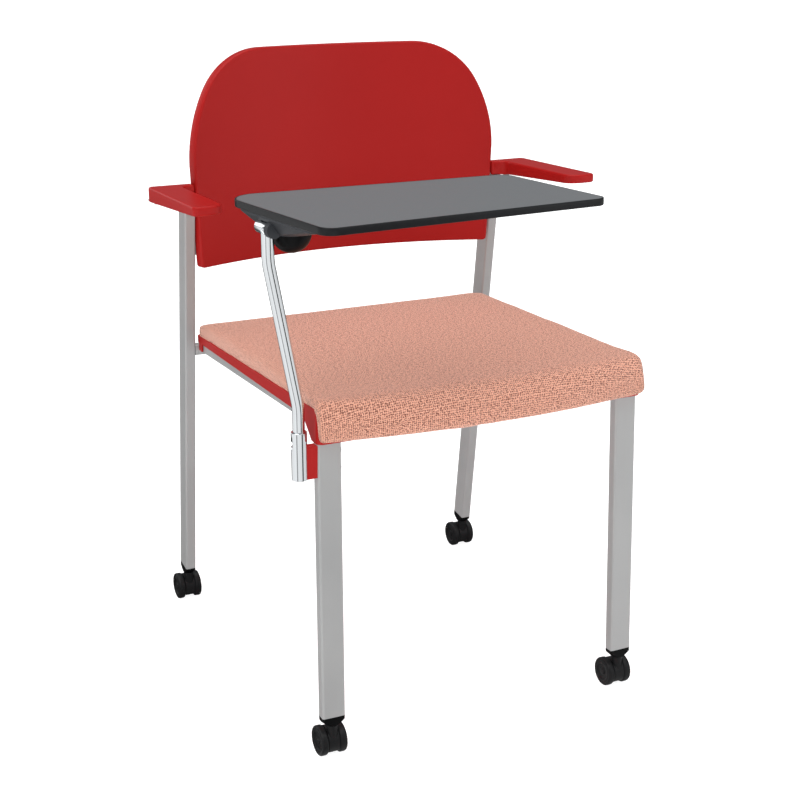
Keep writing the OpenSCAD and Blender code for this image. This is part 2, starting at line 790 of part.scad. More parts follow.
module back_lugs() {
    color("silver") difference() {
        intersection() {
            drum_wall(back_r + back_t, lug_t);
            place() union() {
                for (side = [-1, 1])
                    for (share = lug_rise_shares)
                        translate([side * (rear_in - lug_w / 2) - lug_w / 2, 0, lug_z(share) - lug_h / 2])
                            cube([lug_w, reach / 2, lug_h]);
            }
        }
        back_screw_frames() translate([0, 0, -cut])
            cylinder(h = lug_t + 2 * cut, d = screw_d + 2 * hole_gap);
    }
}

module back_screws() {
    color("gray") back_screw_frames() screw(back_screw_len);
}

// Arms: from the panel's side edge outwards over the rear leg, then forwards and free
module arm_view(side) {
    stub_y = arm_rear_y - arm_stub_d;
    hollow = [arm_in - arm_hollow_r, stub_y - arm_hollow_r];
    corners = [
        [arm_out - arm_corner_r, arm_rear_y - arm_corner_r, arm_corner_r],
        [arm_out - arm_tip_r, arm_tip_y + arm_tip_r, arm_tip_r],
        [arm_in + arm_tip_in_r, arm_tip_y + arm_tip_in_r, arm_tip_in_r]
    ];
    mirror([side > 0 ? 0 : 1, 0]) difference() {
        union() {
            polygon([
                [arm_inner_end, arm_rear_y],
                [arm_inner_end, stub_y],
                [hollow[0], stub_y],
                [arm_in, hollow[1]],
                [arm_in, arm_tip_y + arm_tip_in_r],
                [arm_in + arm_tip_in_r, arm_tip_y],
                [arm_out - arm_tip_r, arm_tip_y],
                [arm_out, arm_tip_y + arm_tip_r],
                [arm_out, arm_rear_y - arm_corner_r],
                [arm_out - arm_corner_r, arm_rear_y]
            ]);
            translate([hollow[0], hollow[1]]) square([arm_hollow_r + join, arm_hollow_r + join]);
            for (c = corners) translate([c[0], c[1]]) circle(c[2] - thinning);
        }
        translate([hollow[0], hollow[1]]) circle(arm_hollow_r - thinning);
    }
}

// The wedge between the arm's upper and lower sides
module arm_wedge() {
    low = arm_tip_y - cut;
    high = arm_rear_y + cut;
    place() across(reach) polygon([
        [low, arm_low(low)],
        [high, arm_low(high)],
        [high, arm_top(high)],
        [low, arm_top(low)]
    ]);
}

module arm(side) {
    color("firebrick") difference() {
        intersection() {
            place() linear_extrude(reach) arm_view(side);
            arm_wedge();
        }
        plate_solid(side, plate_gap);
        arm_screw_frames(side)
            translate([0, 0, -cut]) cylinder(h = arm_screw_len + cut + hole_gap, d = screw_d + 2 * hole_gap);
    }
}

// The plate lies level with the arm's underside, over the rear leg and under the arm's rear part
module plate_solid(side, gap) {
    low = plate_front_y - gap;
    high = plate_rear_y + gap;
    intersection() {
        place() translate([side * (rear_in + plate_out) / 2 - (plate_out - rear_in) / 2 - gap, low, 0])
            cube([plate_out - rear_in + 2 * gap, high - low, reach]);
        place() across(reach) polygon([
            [low, arm_low(low)],
            [high, arm_low(high)],
            [high, arm_low(high) + plate_t + gap],
            [low, arm_low(low) + plate_t + gap]
        ]);
    }
}

module arm_plates() {
    color("silver") for (side = [-1, 1])
        difference() {
            plate_solid(side, 0);
            arm_screw_frames(side) translate([0, 0, -cut])
                cylinder(h = plate_t + 2 * cut, d = screw_d + 2 * hole_gap);
        }
}

// Two screws hold each arm, outside the leg
arm_pitch = atan((arm_rear_t - arm_tip_t + arm_tip_z - arm_rear_z) / arm_len);
arm_screw_y = (plate_front_y + arm_rear_y) / 2;
function arm_screw_x(share) = rear_x + half_d + share * (plate_out - rear_x - half_d);

module arm_screw_frames(side) {
    for (share = arm_screw_shares)
        place() translate([side * arm_screw_x(share), arm_screw_y, arm_low(arm_screw_y)])
            rotate([-arm_pitch, 0, 0]) children();
}

module arm_screws() {
    color("gray") for (side = [-1, 1]) arm_screw_frames(side) screw(arm_screw_len);
}

// A leg's lower end is closed by a black cap that narrows from the tube's section to the stem
module leg_end_frame(front, side) {
    if (front) front_leg_frame(side) children();
    else rear_leg_frame(side) children();
}

function leg_end(front, side) = [side * (front ? front_x : rear_x), front ? -front_y : rear_y];

module leg_cap(front, side) {
    color("black") difference() {
        union() {
            intersection() {
                leg_end_frame(front, side) translate([0, 0, -leg_z])
                    linear_extrude(leg_z) round_rect(tube_w, tube_d, tube_r);
                place() translate([leg_end(front, side)[0], leg_end(front, side)[1], cap_low_z])
                    cylinder(h = cap_h, r1 = cap_low_r, r2 = cap_low_r + cap_h * cap_flare);
            }
            leg_end_frame(front, side) linear_extrude(cap_plug_len)
                round_rect(tube_w - 2 * tube_wall - 2 * hole_gap, tube_d - 2 * tube_wall - 2 * hole_gap,
                    tube_r - tube_wall / 2);
        }
        place() translate([leg_end(front, side)[0], leg_end(front, side)[1], 0])
            cylinder(h = stem_bore_top, d = stem_d + 2 * run_gap);
    }
}

// A caster's hood fills the space between its wheels and carries the stem above it
module caster_hood(front, side) {
    at = leg_end(front, side);
    color("black") place() translate([at[0], at[1], 0]) difference() {
        union() {
            translate([-hood_w / 2, trail, wheel_z]) rotate([0, 90, 0]) cylinder(h = hood_w, r = hood_r);
            translate([0, 0, wheel_z]) cylinder(h = hood_z - wheel_z, r = hood_w / 2);
            translate([0, 0, hood_z]) cylinder(h = stem_top - hood_z, d = stem_d);
        }
        translate([-reach / 2, -reach / 2, hood_low_z - reach]) cube([reach, reach, reach]);
        translate([-hood_w, trail, wheel_z]) rotate([0, 90, 0]) cylinder(h = 2 * hood_w, d = axle_d);
    }
}

module caster_axle(front, side) {
    at = leg_end(front, side);
    color("gray") place() translate([at[0] - axle_len / 2, at[1] + trail, wheel_z])
        rotate([0, 90, 0]) cylinder(h = axle_len, d = axle_d);
}

// A wheel turns on the end of the axle. Its outer face is closed and slightly dished
module wheel_solid() {
    half = wheel_w / 2;
    rotate([0, 90, 0]) difference() {
        rotate_extrude() polygon([
            [0, -half],
            [wheel_r - wheel_round, -half],
            [wheel_r - wheel_round * 0.3, -half + wheel_round * 0.4],
            [wheel_r, -half + wheel_round],
            [wheel_r, half - wheel_round * 1.4],
            [wheel_r - wheel_round * 0.4, half - wheel_round * 0.5],
            [wheel_r - wheel_round * 1.4, half],
            [wheel_r * wheel_dish_r_share, half],
            [wheel_r * wheel_dish_r_share - wheel_dish_depth, half - wheel_dish_depth],
            [0, half - wheel_dish_depth]
        ]);
        translate([0, 0, -half - cut])
            cylinder(h = wheel_bore_len + cut, d = axle_d + 2 * run_gap);
    }
}

module wheel(front, side, outer) {
    at = leg_end(front, side);
    dir = side * (outer ? 1 : -1);
    color("black") place() translate([at[0] + dir * wheel_pitch / 2, at[1] + trail, wheel_z])
        mirror([dir > 0 ? 0 : 1, 0, 0]) wheel_solid();
}

// The clamp block joins the sleeve to the outer face of the leg on the sitter's right
module clamp_block() {
    low_x = front_x - (sleeve_z - leg_z) * tan(front_lean_x) + half_w - tube_r;
    color("firebrick") difference() {
        place() translate([-sleeve_x, -sleeve_y - block_d / 2, sleeve_z])
            cube([sleeve_x - low_x, block_d, block_len]);
        place() translate([-sleeve_x, -sleeve_y, sleeve_z - cut]) cylinder(h = block_len + 2 * cut, d = sleeve_d);
        front_leg_frame(-1) flat_bar(reach / 4);
        block_screw_frames() translate([0, 0, -cut])
            cylinder(h = block_screw_len + cut + hole_gap, d = screw_d + 2 * hole_gap);
    }
}

// Two screws go in through the leg's inner face
block_screw_len = tube_w + (sleeve_x - leg_face_x - sleeve_d / 2) * 0.7;

module block_screw_frames() {
    for (z = [sleeve_z + block_screw_inset, sleeve_z + block_len - block_screw_inset])
        front_leg_frame(-1) translate([half_w, -front_leg_shift(z), z - leg_z]) rotate([0, -90, 0]) children();
}

// The sleeve stands upright while the leg leans, so the screws follow the sleeve's middle
function front_leg_shift(z) = sleeve_y - front_y + (z - leg_z) * tan(front_lean_y);

module block_screws() {
    color("gray") block_screw_frames()
        screw(block_screw_len, screw_d, screw_head_d, block_head_h, block_socket_h);
}

// The sleeve is slotted part of the way round, and the stop pin rides in the slot
module post_sleeve() {
    color("gainsboro") place() translate([-sleeve_x, -sleeve_y, 0]) difference() {
        translate([0, 0, sleeve_z]) cylinder(h = sleeve_len, d = sleeve_d);
        translate([0, 0, sleeve_z - cut]) cylinder(h = sleeve_len + 2 * cut, d = sleeve_bore);
        translate([0, 0, slot_z - slot_h / 2]) rotate([0, 0, slot_from])
            rotate_extrude(angle = slot_to - slot_from) square([sleeve_d, slot_h]);
    }
}

// The plug closes the sleeve's lower end and carries the post
module sleeve_plug() {
    color("black") place() translate([-sleeve_x, -sleeve_y, sleeve_z])
        cylinder(h = sleeve_plug_h, d = sleeve_bore);
}

// One thickness of the post's bent line, from the lower end to the axis of the cross tube
module post_line(d, low, high) {
    translate([0, 0, low]) cylinder(h = bend_z - low + join, d = d);
    translate([-bend_r, 0, bend_z]) rotate([90, 0, 0]) bend(d);
    translate([-bend_step, 0, bend_z + bend_rise]) rotate([0, -bend_angle, 0]) translate([0, 0, -join])
        cylinder(h = lean_len + 2 * join, d = d);
    translate([-bend_out + bend_r, 0, upper_z]) rotate([90, 0, 0]) rotate([0, 0, 180]) bend(d);
    translate([-bend_out, 0, upper_z - join]) cylinder(h = high - upper_z + join, d = d);
}

// A bend is a hair thinner than the stretches that reach into its ends
module bend(d) {
    rotate_extrude(angle = bend_angle, $fn = 128) translate([bend_r, 0]) circle(d = d - thinning, $fn = 64);
}

module tablet_post() {
    color("gainsboro") difference() {
        post_frame() difference() {
            post_line(post_d, post_low_z, pivot_z);
            post_line(post_d - 2 * post_wall, post_low_z - cut, pivot_z + cut);
            translate([-bend_out, pivot_rear + cut, pivot_z]) rotate([90, 0, 0])
                cylinder(h = pivot_rear + pivot_front + 2 * cut, d = pivot_d);
        }
        pin_frame() translate([0, 0, post_d / 4]) cylinder(h = sleeve_d, d = pin_d);
    }
}

// The stop pin is fixed in the post's wall and reaches through the sleeve's slot
module pin_frame() {
    place() translate([-sleeve_x, -sleeve_y, slot_z]) rotate([0, 0, pin_at]) rotate([0, 90, 0]) children();
}

module stop_pin() {
    pin_from = post_d / 2 - post_wall - run_gap;
    color("gray") pin_frame() translate([0, 0, pin_from]) cylinder(h = sleeve_d / 2 - pin_from, d = pin_d);
}

// The cross tube is welded over the post's upper end
module pivot_tube() {
    color("gainsboro") pivot_frame() translate([0, pivot_rear, pivot_z]) rotate([90, 0, 0]) difference() {
        cylinder(h = pivot_rear + pivot_front, d = pivot_d);
        translate([0, 0, -cut]) cylinder(h = pivot_rear + pivot_front + 2 * cut, d = pivot_d - 2 * post_wall);
    }
}

// Two bright plugs close the cross tube's ends
module pivot_plugs() {
    color("gainsboro") pivot_frame() {
        translate([0, pivot_rear, pivot_z]) rotate([90, 0, 0]) pivot_plug();
        translate([0, -pivot_front, pivot_z]) rotate([-90, 0, 0]) pivot_plug();
    }
}

module pivot_plug() {
    cylinder(h = 3 * plug_t, d = pivot_d - 2 * post_wall);
}

// The housing spreads from a round foot up to the tablet's outer edge, and holds the cross tube
module housing_slab_view() {
    rounded([
        [housing_out, -housing_front],
        [housing_in, -housing_front + housing_corner_r],
        [housing_in, housing_rear_in],
        [housing_out, housing_rear]
    ], [housing_corner_r, housing_corner_r, housing_corner_r, housing_post_r], 32);
}

module tablet_housing() {
    color("dimgray") pivot_frame() difference() {
        union() {
            hull() {
                translate([0, 0, tablet_low - housing_slab_h]) linear_extrude(housing_slab_h) housing_slab_view();
                translate([dome_x, dome_y, housing_low_z])
                    cylinder(h = housing_foot_t, r = dome_r + cheek_t, $fn = 48);
            }
            translate([0, -post_d / 2 - post_gap, pivot_z]) rotate([90, 0, 0])
                cylinder(h = pivot_front - post_d / 2 - post_gap + boss_end_t, r = boss_r);
        }
        translate([0, pivot_rear + post_gap, pivot_z]) rotate([90, 0, 0])
            cylinder(h = pivot_front + pivot_rear + post_gap + run_gap, d = pivot_d + 2 * run_gap);
        translate([post_d / 2 + stop_gap - reach / 4, -post_d / 2 - post_gap, pivot_roof - reach])
            cube([reach / 4, post_d + 2 * post_gap, reach]);
        tablet_screw_frames() translate([0, 0, -reach / 4])
            cylinder(h = reach / 4, d = tablet_screw_head + 2 * hole_gap);
        tablet_screw_frames() cylinder(h = reach / 4, d = tablet_screw_d + 2 * hole_gap);
        housing_dome_cut();
    }
}

// The round cover under the housing, beside the post
module dome_ball(r) {
    intersection() {
        translate([dome_x, dome_y, housing_low_z]) sphere(r);
        translate([dome_x - r, dome_y - r, housing_low_z - r]) cube([2 * r, 2 * r, r + dome_flat_h]);
    }
}

module housing_dome_cut() {
    translate([dome_x, dome_y, housing_low_z - 2 * dome_r]) cylinder(h = 2 * dome_r + dome_flat_h, r = dome_r);
}

module housing_dome() {
    color("black") pivot_frame() dome_ball(dome_r);
}

// Four screws hold the housing to the board from below
module tablet_screw_frames() {
    for (s = tablet_screw_shares)
        translate([housing_out + s[0] * (housing_in - housing_out),
            -housing_front + s[1] * (housing_rear + housing_front), tablet_low - housing_slab_h / 2]) children();
}

module tablet_screws() {
    color("gray") pivot_frame() tablet_screw_frames()
        screw(tablet_screw_len, tablet_screw_d, tablet_screw_head);
}

// The board with its screw holes, inside the edge band
module tablet_board() {
    color("gray") pivot_frame() difference() {
        translate([0, 0, tablet_low]) linear_extrude(tablet_t)
            rounded(inset(tablet_points, edge_t), [for (r = tablet_radii) r - edge_t]);
        tablet_screw_frames() cylinder(h = tablet_screw_len + hole_gap, d = tablet_screw_d + 2 * hole_gap);
    }
}

module tablet_edge() {
    color("black") pivot_frame() translate([0, 0, tablet_low]) linear_extrude(tablet_t) difference() {
        rounded(tablet_points, tablet_radii);
        rounded(inset(tablet_points, edge_t), [for (r = tablet_radii) r - edge_t]);
    }
}

front_leg(1);  // front_leg_left
front_leg(-1);  // front_leg_right
rear_leg(1);  // rear_leg_left
rear_leg(-1);  // rear_leg_right
side_rail(1);  // side_rail_left
side_rail(-1);  // side_rail_right
front_rail();
rear_rail();
seat_shell();
seat_cushion();
seat_screws();
back_panel();
back_lugs();
back_screws();
arm(1);  // arm_left
arm(-1);  // arm_right
arm_plates();
arm_screws();
leg_cap(true, 1);  // leg_cap_front_left
leg_cap(true, -1);  // leg_cap_front_right
leg_cap(false, 1);  // leg_cap_rear_left
leg_cap(false, -1);  // leg_cap_rear_right
caster_hood(true, 1);  // caster_hood_front_left
caster_hood(true, -1);  // caster_hood_front_right
caster_hood(false, 1);  // caster_hood_rear_left
caster_hood(false, -1);  // caster_hood_rear_right
caster_axle(true, 1);  // caster_axle_front_left
caster_axle(true, -1);  // caster_axle_front_right
caster_axle(false, 1);  // caster_axle_rear_left
caster_axle(false, -1);  // caster_axle_rear_right
wheel(true, 1, true);  // wheel_front_left_outer
wheel(true, 1, false);  // wheel_front_left_inner
wheel(true, -1, true);  // wheel_front_right_outer
wheel(true, -1, false);  // wheel_front_right_inner
wheel(false, 1, true);  // wheel_rear_left_outer
wheel(false, 1, false);  // wheel_rear_left_inner
wheel(false, -1, true);  // wheel_rear_right_outer
wheel(false, -1, false);  // wheel_rear_right_inner
clamp_block();
block_screws();
post_sleeve();
sleeve_plug();
tablet_post();
stop_pin();
pivot_tube();
pivot_plugs();
tablet_housing();
housing_dome();
tablet_board();
tablet_edge();
tablet_screws();
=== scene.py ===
import math

import bpy
import numpy as np
from mathutils.bvhtree import BVHTree
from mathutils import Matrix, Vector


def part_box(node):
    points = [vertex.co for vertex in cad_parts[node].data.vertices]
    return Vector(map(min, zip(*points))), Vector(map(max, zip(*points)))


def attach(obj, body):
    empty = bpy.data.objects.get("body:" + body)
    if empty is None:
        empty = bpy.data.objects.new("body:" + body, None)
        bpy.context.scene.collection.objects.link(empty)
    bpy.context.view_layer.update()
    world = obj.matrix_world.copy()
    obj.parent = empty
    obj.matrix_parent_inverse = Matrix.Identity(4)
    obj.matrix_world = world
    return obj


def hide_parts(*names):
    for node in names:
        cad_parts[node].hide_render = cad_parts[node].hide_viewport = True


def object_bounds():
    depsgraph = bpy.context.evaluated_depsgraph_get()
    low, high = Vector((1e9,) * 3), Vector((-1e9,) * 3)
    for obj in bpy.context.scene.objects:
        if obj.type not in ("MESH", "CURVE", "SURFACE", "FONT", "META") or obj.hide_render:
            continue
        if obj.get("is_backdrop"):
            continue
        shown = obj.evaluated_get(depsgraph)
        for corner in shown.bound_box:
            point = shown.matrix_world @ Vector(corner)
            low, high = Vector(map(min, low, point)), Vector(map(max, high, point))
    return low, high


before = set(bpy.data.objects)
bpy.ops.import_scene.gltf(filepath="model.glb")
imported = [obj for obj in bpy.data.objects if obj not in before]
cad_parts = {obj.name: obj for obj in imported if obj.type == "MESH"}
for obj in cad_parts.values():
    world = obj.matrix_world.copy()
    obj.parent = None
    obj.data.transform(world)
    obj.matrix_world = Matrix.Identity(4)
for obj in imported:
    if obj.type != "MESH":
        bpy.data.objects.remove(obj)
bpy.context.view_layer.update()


# Camera and studio
# A plain white floor under a broad overhead light. Its weak part throws soft shadows, and its
# strong part throws none. A softbox stands on either side of the camera and one behind the chair,
# for the glossy pieces to reflect.

# Sizes in this file are in millimetres from the point of the floor under the seat that the part
# is drawn from. placed() moves them into the part's own frame, in metres.
part_shift = np.array([1.45, 21.94, 0.0])
view_target = np.array([-10.58, 0.34, 371.92])
view_distance = 2010.56
view_azimuth, view_elevation = math.radians(-25.20), math.radians(18.36)
lens_mm, film_mm = 66.93, 36.0
nearest_m, farthest_m = 0.05, 200.0


def placed(points):
    """Points in millimetres from the drawing's zero become points in metres in the part's frame."""
    return (np.asarray(points, float) + part_shift) * 0.001


def per_metre(size_mm):
    """How often a pattern of this size in millimetres fits in a metre, which is a texture's Scale."""
    return 1000 / size_mm


def linear(code):
    """An sRGB hex colour as linear red, green, blue and full alpha: each channel c becomes
    ((c + 0.055) / 1.055) to the power 2.4, or c / 12.92 where it is nearly black."""
    channels = np.array([int(code[k:k + 2], 16) for k in (1, 3, 5)]) / 255
    bright = ((channels + 0.055) / 1.055) ** 2.4
    return (*np.where(channels <= 0.04045, channels / 12.92, bright).tolist(), 1.0)


def add_node(tree, kind, sockets=None, **settings):
    """Adds a node of one kind to a tree. Settings are the node's own; each entry of sockets
    gives an input its value, or the output that feeds it."""
    made = tree.nodes.new(kind)
    for name, value in settings.items():
        setattr(made, name, value)
    for name, value in (sockets or {}).items():
        if isinstance(value, bpy.types.NodeSocket):
            tree.links.new(value, made.inputs[name])
        else:
            made.inputs[name].default_value = value
    return made


def new_material(name, colour, roughness, metallic=0.0, **sockets):
    """A material with one Principled shader; further sockets are named with underscores."""
    made = bpy.data.materials.new(name)
    made.use_nodes = True
    tree = made.node_tree
    shader = tree.nodes["Principled BSDF"]
    shader.inputs["Base Color"].default_value = linear(colour)
    shader.inputs["Roughness"].default_value = roughness
    shader.inputs["Metallic"].default_value = metallic
    for socket, value in sockets.items():
        shader.inputs[socket.replace("_", " ")].default_value = value
    made.diffuse_color = linear(colour)
    return made, tree, shader


# The direction from the target to the camera: the azimuth turns it from straight in front towards
# the sitter's left, and the elevation lifts it.
to_camera = np.array([math.sin(view_azimuth) * math.cos(view_elevation),
                      -math.cos(view_azimuth) * math.cos(view_elevation), math.sin(view_elevation)])
camera_data = bpy.data.cameras.new("camera")
camera_data.lens, camera_data.sensor_width = lens_mm, film_mm
camera_data.clip_start, camera_data.clip_end = nearest_m, farthest_m
camera = bpy.data.objects.new("camera", camera_data)
bpy.context.scene.collection.objects.link(camera)
camera.location = placed(view_target) + to_camera * view_distance * 0.001
camera.rotation_mode = "QUATERNION"
camera.rotation_quaternion = Vector(-to_camera).to_track_quat("-Z", "Y")
bpy.context.scene.camera = camera
bpy.context.scene.view_settings.view_transform = "Standard"

floor_half_m, floor_glow, floor_cloud_mm = 60.0, 0.28, 333.0
floor_mesh = bpy.data.meshes.new("floor")
floor_mesh.from_pydata([(x * floor_half_m, y * floor_half_m, 0)
                        for x, y in ((-1, -1), (1, -1), (1, 1), (-1, 1))], [], [(0, 1, 2, 3)])
floor = bpy.data.objects.new("floor", floor_mesh)
bpy.context.scene.collection.objects.link(floor)
floor_paint, tree, shader = new_material("floor_white_with_painted_reflection", "#fdfdfd", 0.9, Specular_IOR_Level=0.1)
cloud = add_node(tree, "ShaderNodeTexNoise", {"Scale": per_metre(floor_cloud_mm), "Detail": 2.0})
tone = add_node(tree, "ShaderNodeMix", {"Factor": cloud.outputs["Fac"], "A": linear("#fcfcfc"),
                                        "B": linear("#ffffff")}, data_type="RGBA")

# In reflections only, the floor's colour is a painted reflection: a little greyer, with dark and light
# stripes painted round the post, which the chrome shows as its lines. Each stripe's edge is a bearing
# in degrees to the right of the camera's, and a tone.
painted_reflection_stripes = ((-180, 0.05), (-134, 0.06), (-122, 0.70), (-36, 0.78), (-30, 0.22), (-21, 0.22), (-15, 0.72),
         (41, 0.68), (46, 0.03), (60, 0.03), (66, 0.66), (116, 0.58), (134, 0.12), (180, 0.06))
reflection_stripe_middle_m = (-0.240, -0.190, 0.0)
place = add_node(tree, "ShaderNodeTexCoord")
from_post_foot = add_node(tree, "ShaderNodeMapping", {
    "Vector": place.outputs["Object"], "Location": reflection_stripe_middle_m,
    "Rotation": (0.0, 0.0, view_azimuth - math.pi / 2)}, vector_type="TEXTURE")
split = add_node(tree, "ShaderNodeSeparateXYZ", {"Vector": from_post_foot.outputs["Vector"]})
bearing = add_node(tree, "ShaderNodeMath", {0: split.outputs["Y"], 1: split.outputs["X"]},
                   operation="ARCTAN2")
share = add_node(tree, "ShaderNodeMapRange", {"Value": bearing.outputs["Value"], "From Min": -math.pi,
                                              "From Max": math.pi})
ramp = add_node(tree, "ShaderNodeValToRGB", {"Fac": share.outputs["Result"]})
stops = ramp.color_ramp.elements
for number, (degrees, grey) in enumerate(painted_reflection_stripes):
    at = (degrees + 180) / 360
    between = 0 < number < len(painted_reflection_stripes) - 1
    stop = stops.new(at) if between else stops[-(number > 0)]
    stop.position, stop.color = at, (grey, grey, grey, 1.0)
# Glossy rays see the painted reflection, the stripes and no glow, where other rays see the white floor.
ray = add_node(tree, "ShaderNodeLightPath")
painted_reflection_colour = add_node(tree, "ShaderNodeMix", {"Factor": ray.outputs["Is Glossy Ray"], "A": tone.outputs["Result"],
                                        "B": ramp.outputs["Color"]}, data_type="RGBA")
glow = add_node(tree, "ShaderNodeMix", {"Factor": ray.outputs["Is Glossy Ray"], "A": linear("#ffffff"),
                                        "B": linear("#000000")}, data_type="RGBA")
tree.links.new(glow.outputs["Result"], shader.inputs["Emission Color"])
shader.inputs["Emission Strength"].default_value = floor_glow
tree.links.new(painted_reflection_colour.outputs["Result"], shader.inputs["Base Color"])
floor_mesh.materials.append(floor_paint)
floor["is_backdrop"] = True

# The room round the floor is grey to light and to reflections, and white to the camera.
room_grey, room_white = (0.18, 0.19, 0.20, 1.0), (1.0, 1.0, 1.0, 1.0)
world = bpy.data.worlds.new("studio")
world.use_nodes = True
tree = world.node_tree
ray = add_node(tree, "ShaderNodeLightPath")
room = add_node(tree, "ShaderNodeMix", {"Factor": ray.outputs["Is Camera Ray"], "A": room_grey,
                                        "B": room_white}, data_type="RGBA")
tree.links.new(room.outputs["Result"], tree.nodes["Background"].inputs["Color"])
bpy.context.scene.world = world


def soft_light(name, place, size, glow, towards=(0.0, 0.0, 0.5)):
    """A rectangular softbox at a place in metres, turned towards a point. Its power is pi times
    its area times its glow, so that the glow is how bright it looks in a mirror."""
    data = bpy.data.lights.new(name, "AREA")
    data.shape, data.size, data.size_y = "RECTANGLE", size[0], size[1]
    data.energy = math.pi * size[0] * size[1] * glow
    made = bpy.data.objects.new(name, data)
    bpy.context.scene.collection.objects.link(made)
    made.location = place
    direction = Vector(towards) - Vector(place)
    made.rotation_mode = "QUATERNION"
    made.rotation_quaternion = direction.to_track_quat("-Z", "Y")
    made.visible_camera = False
    return made


overhead_width, overhead_tilt = math.radians(80), (math.radians(6), math.radians(-8), 0)
for name, energy, shades in (("overhead", 0.5, True), ("overhead_fill", 2.75, False)):
    sky = bpy.data.lights.new(name, "SUN")
    sky.energy, sky.angle, sky.use_shadow = energy, overhead_width, shades
    overhead = bpy.data.objects.new(name, sky)
    bpy.context.scene.collection.objects.link(overhead)
    overhead.rotation_euler = overhead_tilt
soft_light("softbox_left", (-3.4, -2.6, 1.9), (2.2, 2.6), 1.4)
soft_light("softbox_right", (2.6, -3.4, 1.6), (1.8, 2.6), 1.6)
soft_light("softbox_back", (-2.4, 4.2, 1.9), (3.0, 2.4), 1.3)


# Frame tubes
# Legs and rails of flat steel tube, cut and welded, then sprayed with one silver-grey powder
# coat. The lugs behind the back panel and the plates under the arms are welded on before.

def dress(finish, *names):
    """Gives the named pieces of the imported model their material."""
    for name in names:
        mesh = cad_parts[name].data
        mesh.materials.clear()
        mesh.materials.append(finish)


# Powder coat: baked thermoset polyester with a little aluminium flake. It flows out to a fine
# orange-peel skin, satin rather than glossy, and a shade darker where it lies thin.
coat_peel_mm, coat_cloud_mm = 1.6, 111.0
powder_coat, tree, shader = new_material("silver_powder_coat", "#a6a6a6", 0.36, metallic=0.25, IOR=1.5)
place = add_node(tree, "ShaderNodeTexCoord")
peel = add_node(tree, "ShaderNodeTexNoise", {"Vector": place.outputs["Object"],
                                             "Scale": per_metre(coat_peel_mm), "Detail": 3.0})
cloud = add_node(tree, "ShaderNodeTexNoise", {"Vector": place.outputs["Object"],
                                              "Scale": per_metre(coat_cloud_mm), "Detail": 2.0})
tone = add_node(tree, "ShaderNodeMix", {"Factor": cloud.outputs["Fac"], "A": linear("#a0a0a0"),
                                        "B": linear("#acacab")}, data_type="RGBA")
tree.links.new(tone.outputs["Result"], shader.inputs["Base Color"])
satin = add_node(tree, "ShaderNodeMapRange", {"Value": cloud.outputs["Fac"],
                                              "To Min": 0.31, "To Max": 0.42})
tree.links.new(satin.outputs["Result"], shader.inputs["Roughness"])
skin = add_node(tree, "ShaderNodeBump", {"Height": peel.outputs["Fac"], "Strength": 0.05,
                                         "Distance": 0.0002})
tree.links.new(skin.outputs["Normal"], shader.inputs["Normal"])
dress(powder_coat, "front_leg_left", "front_leg_right", "rear_leg_left", "rear_leg_right",
      "side_rail_left", "side_rail_right", "front_rail", "rear_rail", "back_lugs", "arm_plates")


# Seat shell
# One moulding of red polypropylene that turns down at the front and stands up round the pad.
# Four screws hold it to the side rails from below.

# Polypropylene: self-coloured, satin from a lightly sparked mould, with a faint waxy sheen.
mould_grain_mm, mould_flow_mm = 0.7, 200.0
red_plastic, tree, shader = new_material("red_polypropylene", "#ab1b19", 0.42, IOR=1.49,
                                         Specular_IOR_Level=0.15)
place = add_node(tree, "ShaderNodeTexCoord")
grain = add_node(tree, "ShaderNodeTexNoise", {"Vector": place.outputs["Object"],
                                              "Scale": per_metre(mould_grain_mm), "Detail": 2.0})
flow = add_node(tree, "ShaderNodeTexNoise", {"Vector": place.outputs["Object"],
                                             "Scale": per_metre(mould_flow_mm), "Detail": 3.0})
tone = add_node(tree, "ShaderNodeMix", {"Factor": flow.outputs["Fac"], "A": linear("#a01817"),
                                        "B": linear("#aa1b19")}, data_type="RGBA")
tree.links.new(tone.outputs["Result"], shader.inputs["Base Color"])
satin = add_node(tree, "ShaderNodeMapRange", {"Value": flow.outputs["Fac"],
                                              "To Min": 0.34, "To Max": 0.44})
tree.links.new(satin.outputs["Result"], shader.inputs["Roughness"])
skin = add_node(tree, "ShaderNodeBump", {"Height": grain.outputs["Fac"], "Strength": 0.06,
                                         "Distance": 0.0001})
tree.links.new(skin.outputs["Normal"], shader.inputs["Normal"])
dress(red_plastic, "seat_shell", "clamp_block")


# Seat cushion
# A slab of cut foam on a board, covered in one piece of coarse salmon-coloured wool blend that
# is pulled over the front roll and stapled underneath. It lies in the shell and swells over it.

foam_cell, foam_shrink, most_swell = 5.0, 0.5, 5.0
cover_pressure, cover_mass, swell_steps = 4.0, 0.3, 20


def take_copy(name, source):
    """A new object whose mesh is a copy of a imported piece, with its doubled points merged."""
    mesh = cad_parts[source].data.copy()
    mesh.name = name
    mesh.materials.clear()
    made = bpy.data.objects.new(name, mesh)
    bpy.context.scene.collection.objects.link(made)
    weld = made.modifiers.new("weld", "WELD")
    weld.merge_threshold = 0.00002
    apply_modifiers(made)
    return made


def apply_modifiers(piece):
    """Replaces a piece's mesh by what its modifiers make of it."""
    bpy.context.view_layer.update()
    graph = bpy.context.evaluated_depsgraph_get()
    made = bpy.data.meshes.new_from_object(piece.evaluated_get(graph))
    piece.modifiers.clear()
    piece.data = made


def eased(share):
    """A share held between 0 and 1, eased at both ends: three times its square less twice its cube."""
    share = np.clip(share, 0, 1)
    return share * share * (3 - 2 * share)


def points_of(piece):
    """The piece's points as an array of rows."""
    flat = np.zeros(len(piece.data.vertices) * 3)
    piece.data.vertices.foreach_get("co", flat)
    return flat.reshape(-1, 3)


def normals_of(piece):
    """The outward direction at each of the piece's points."""
    flat = np.zeros(len(piece.data.vertices) * 3)
    piece.data.vertex_normals.foreach_get("vector", flat)
    return flat.reshape(-1, 3)


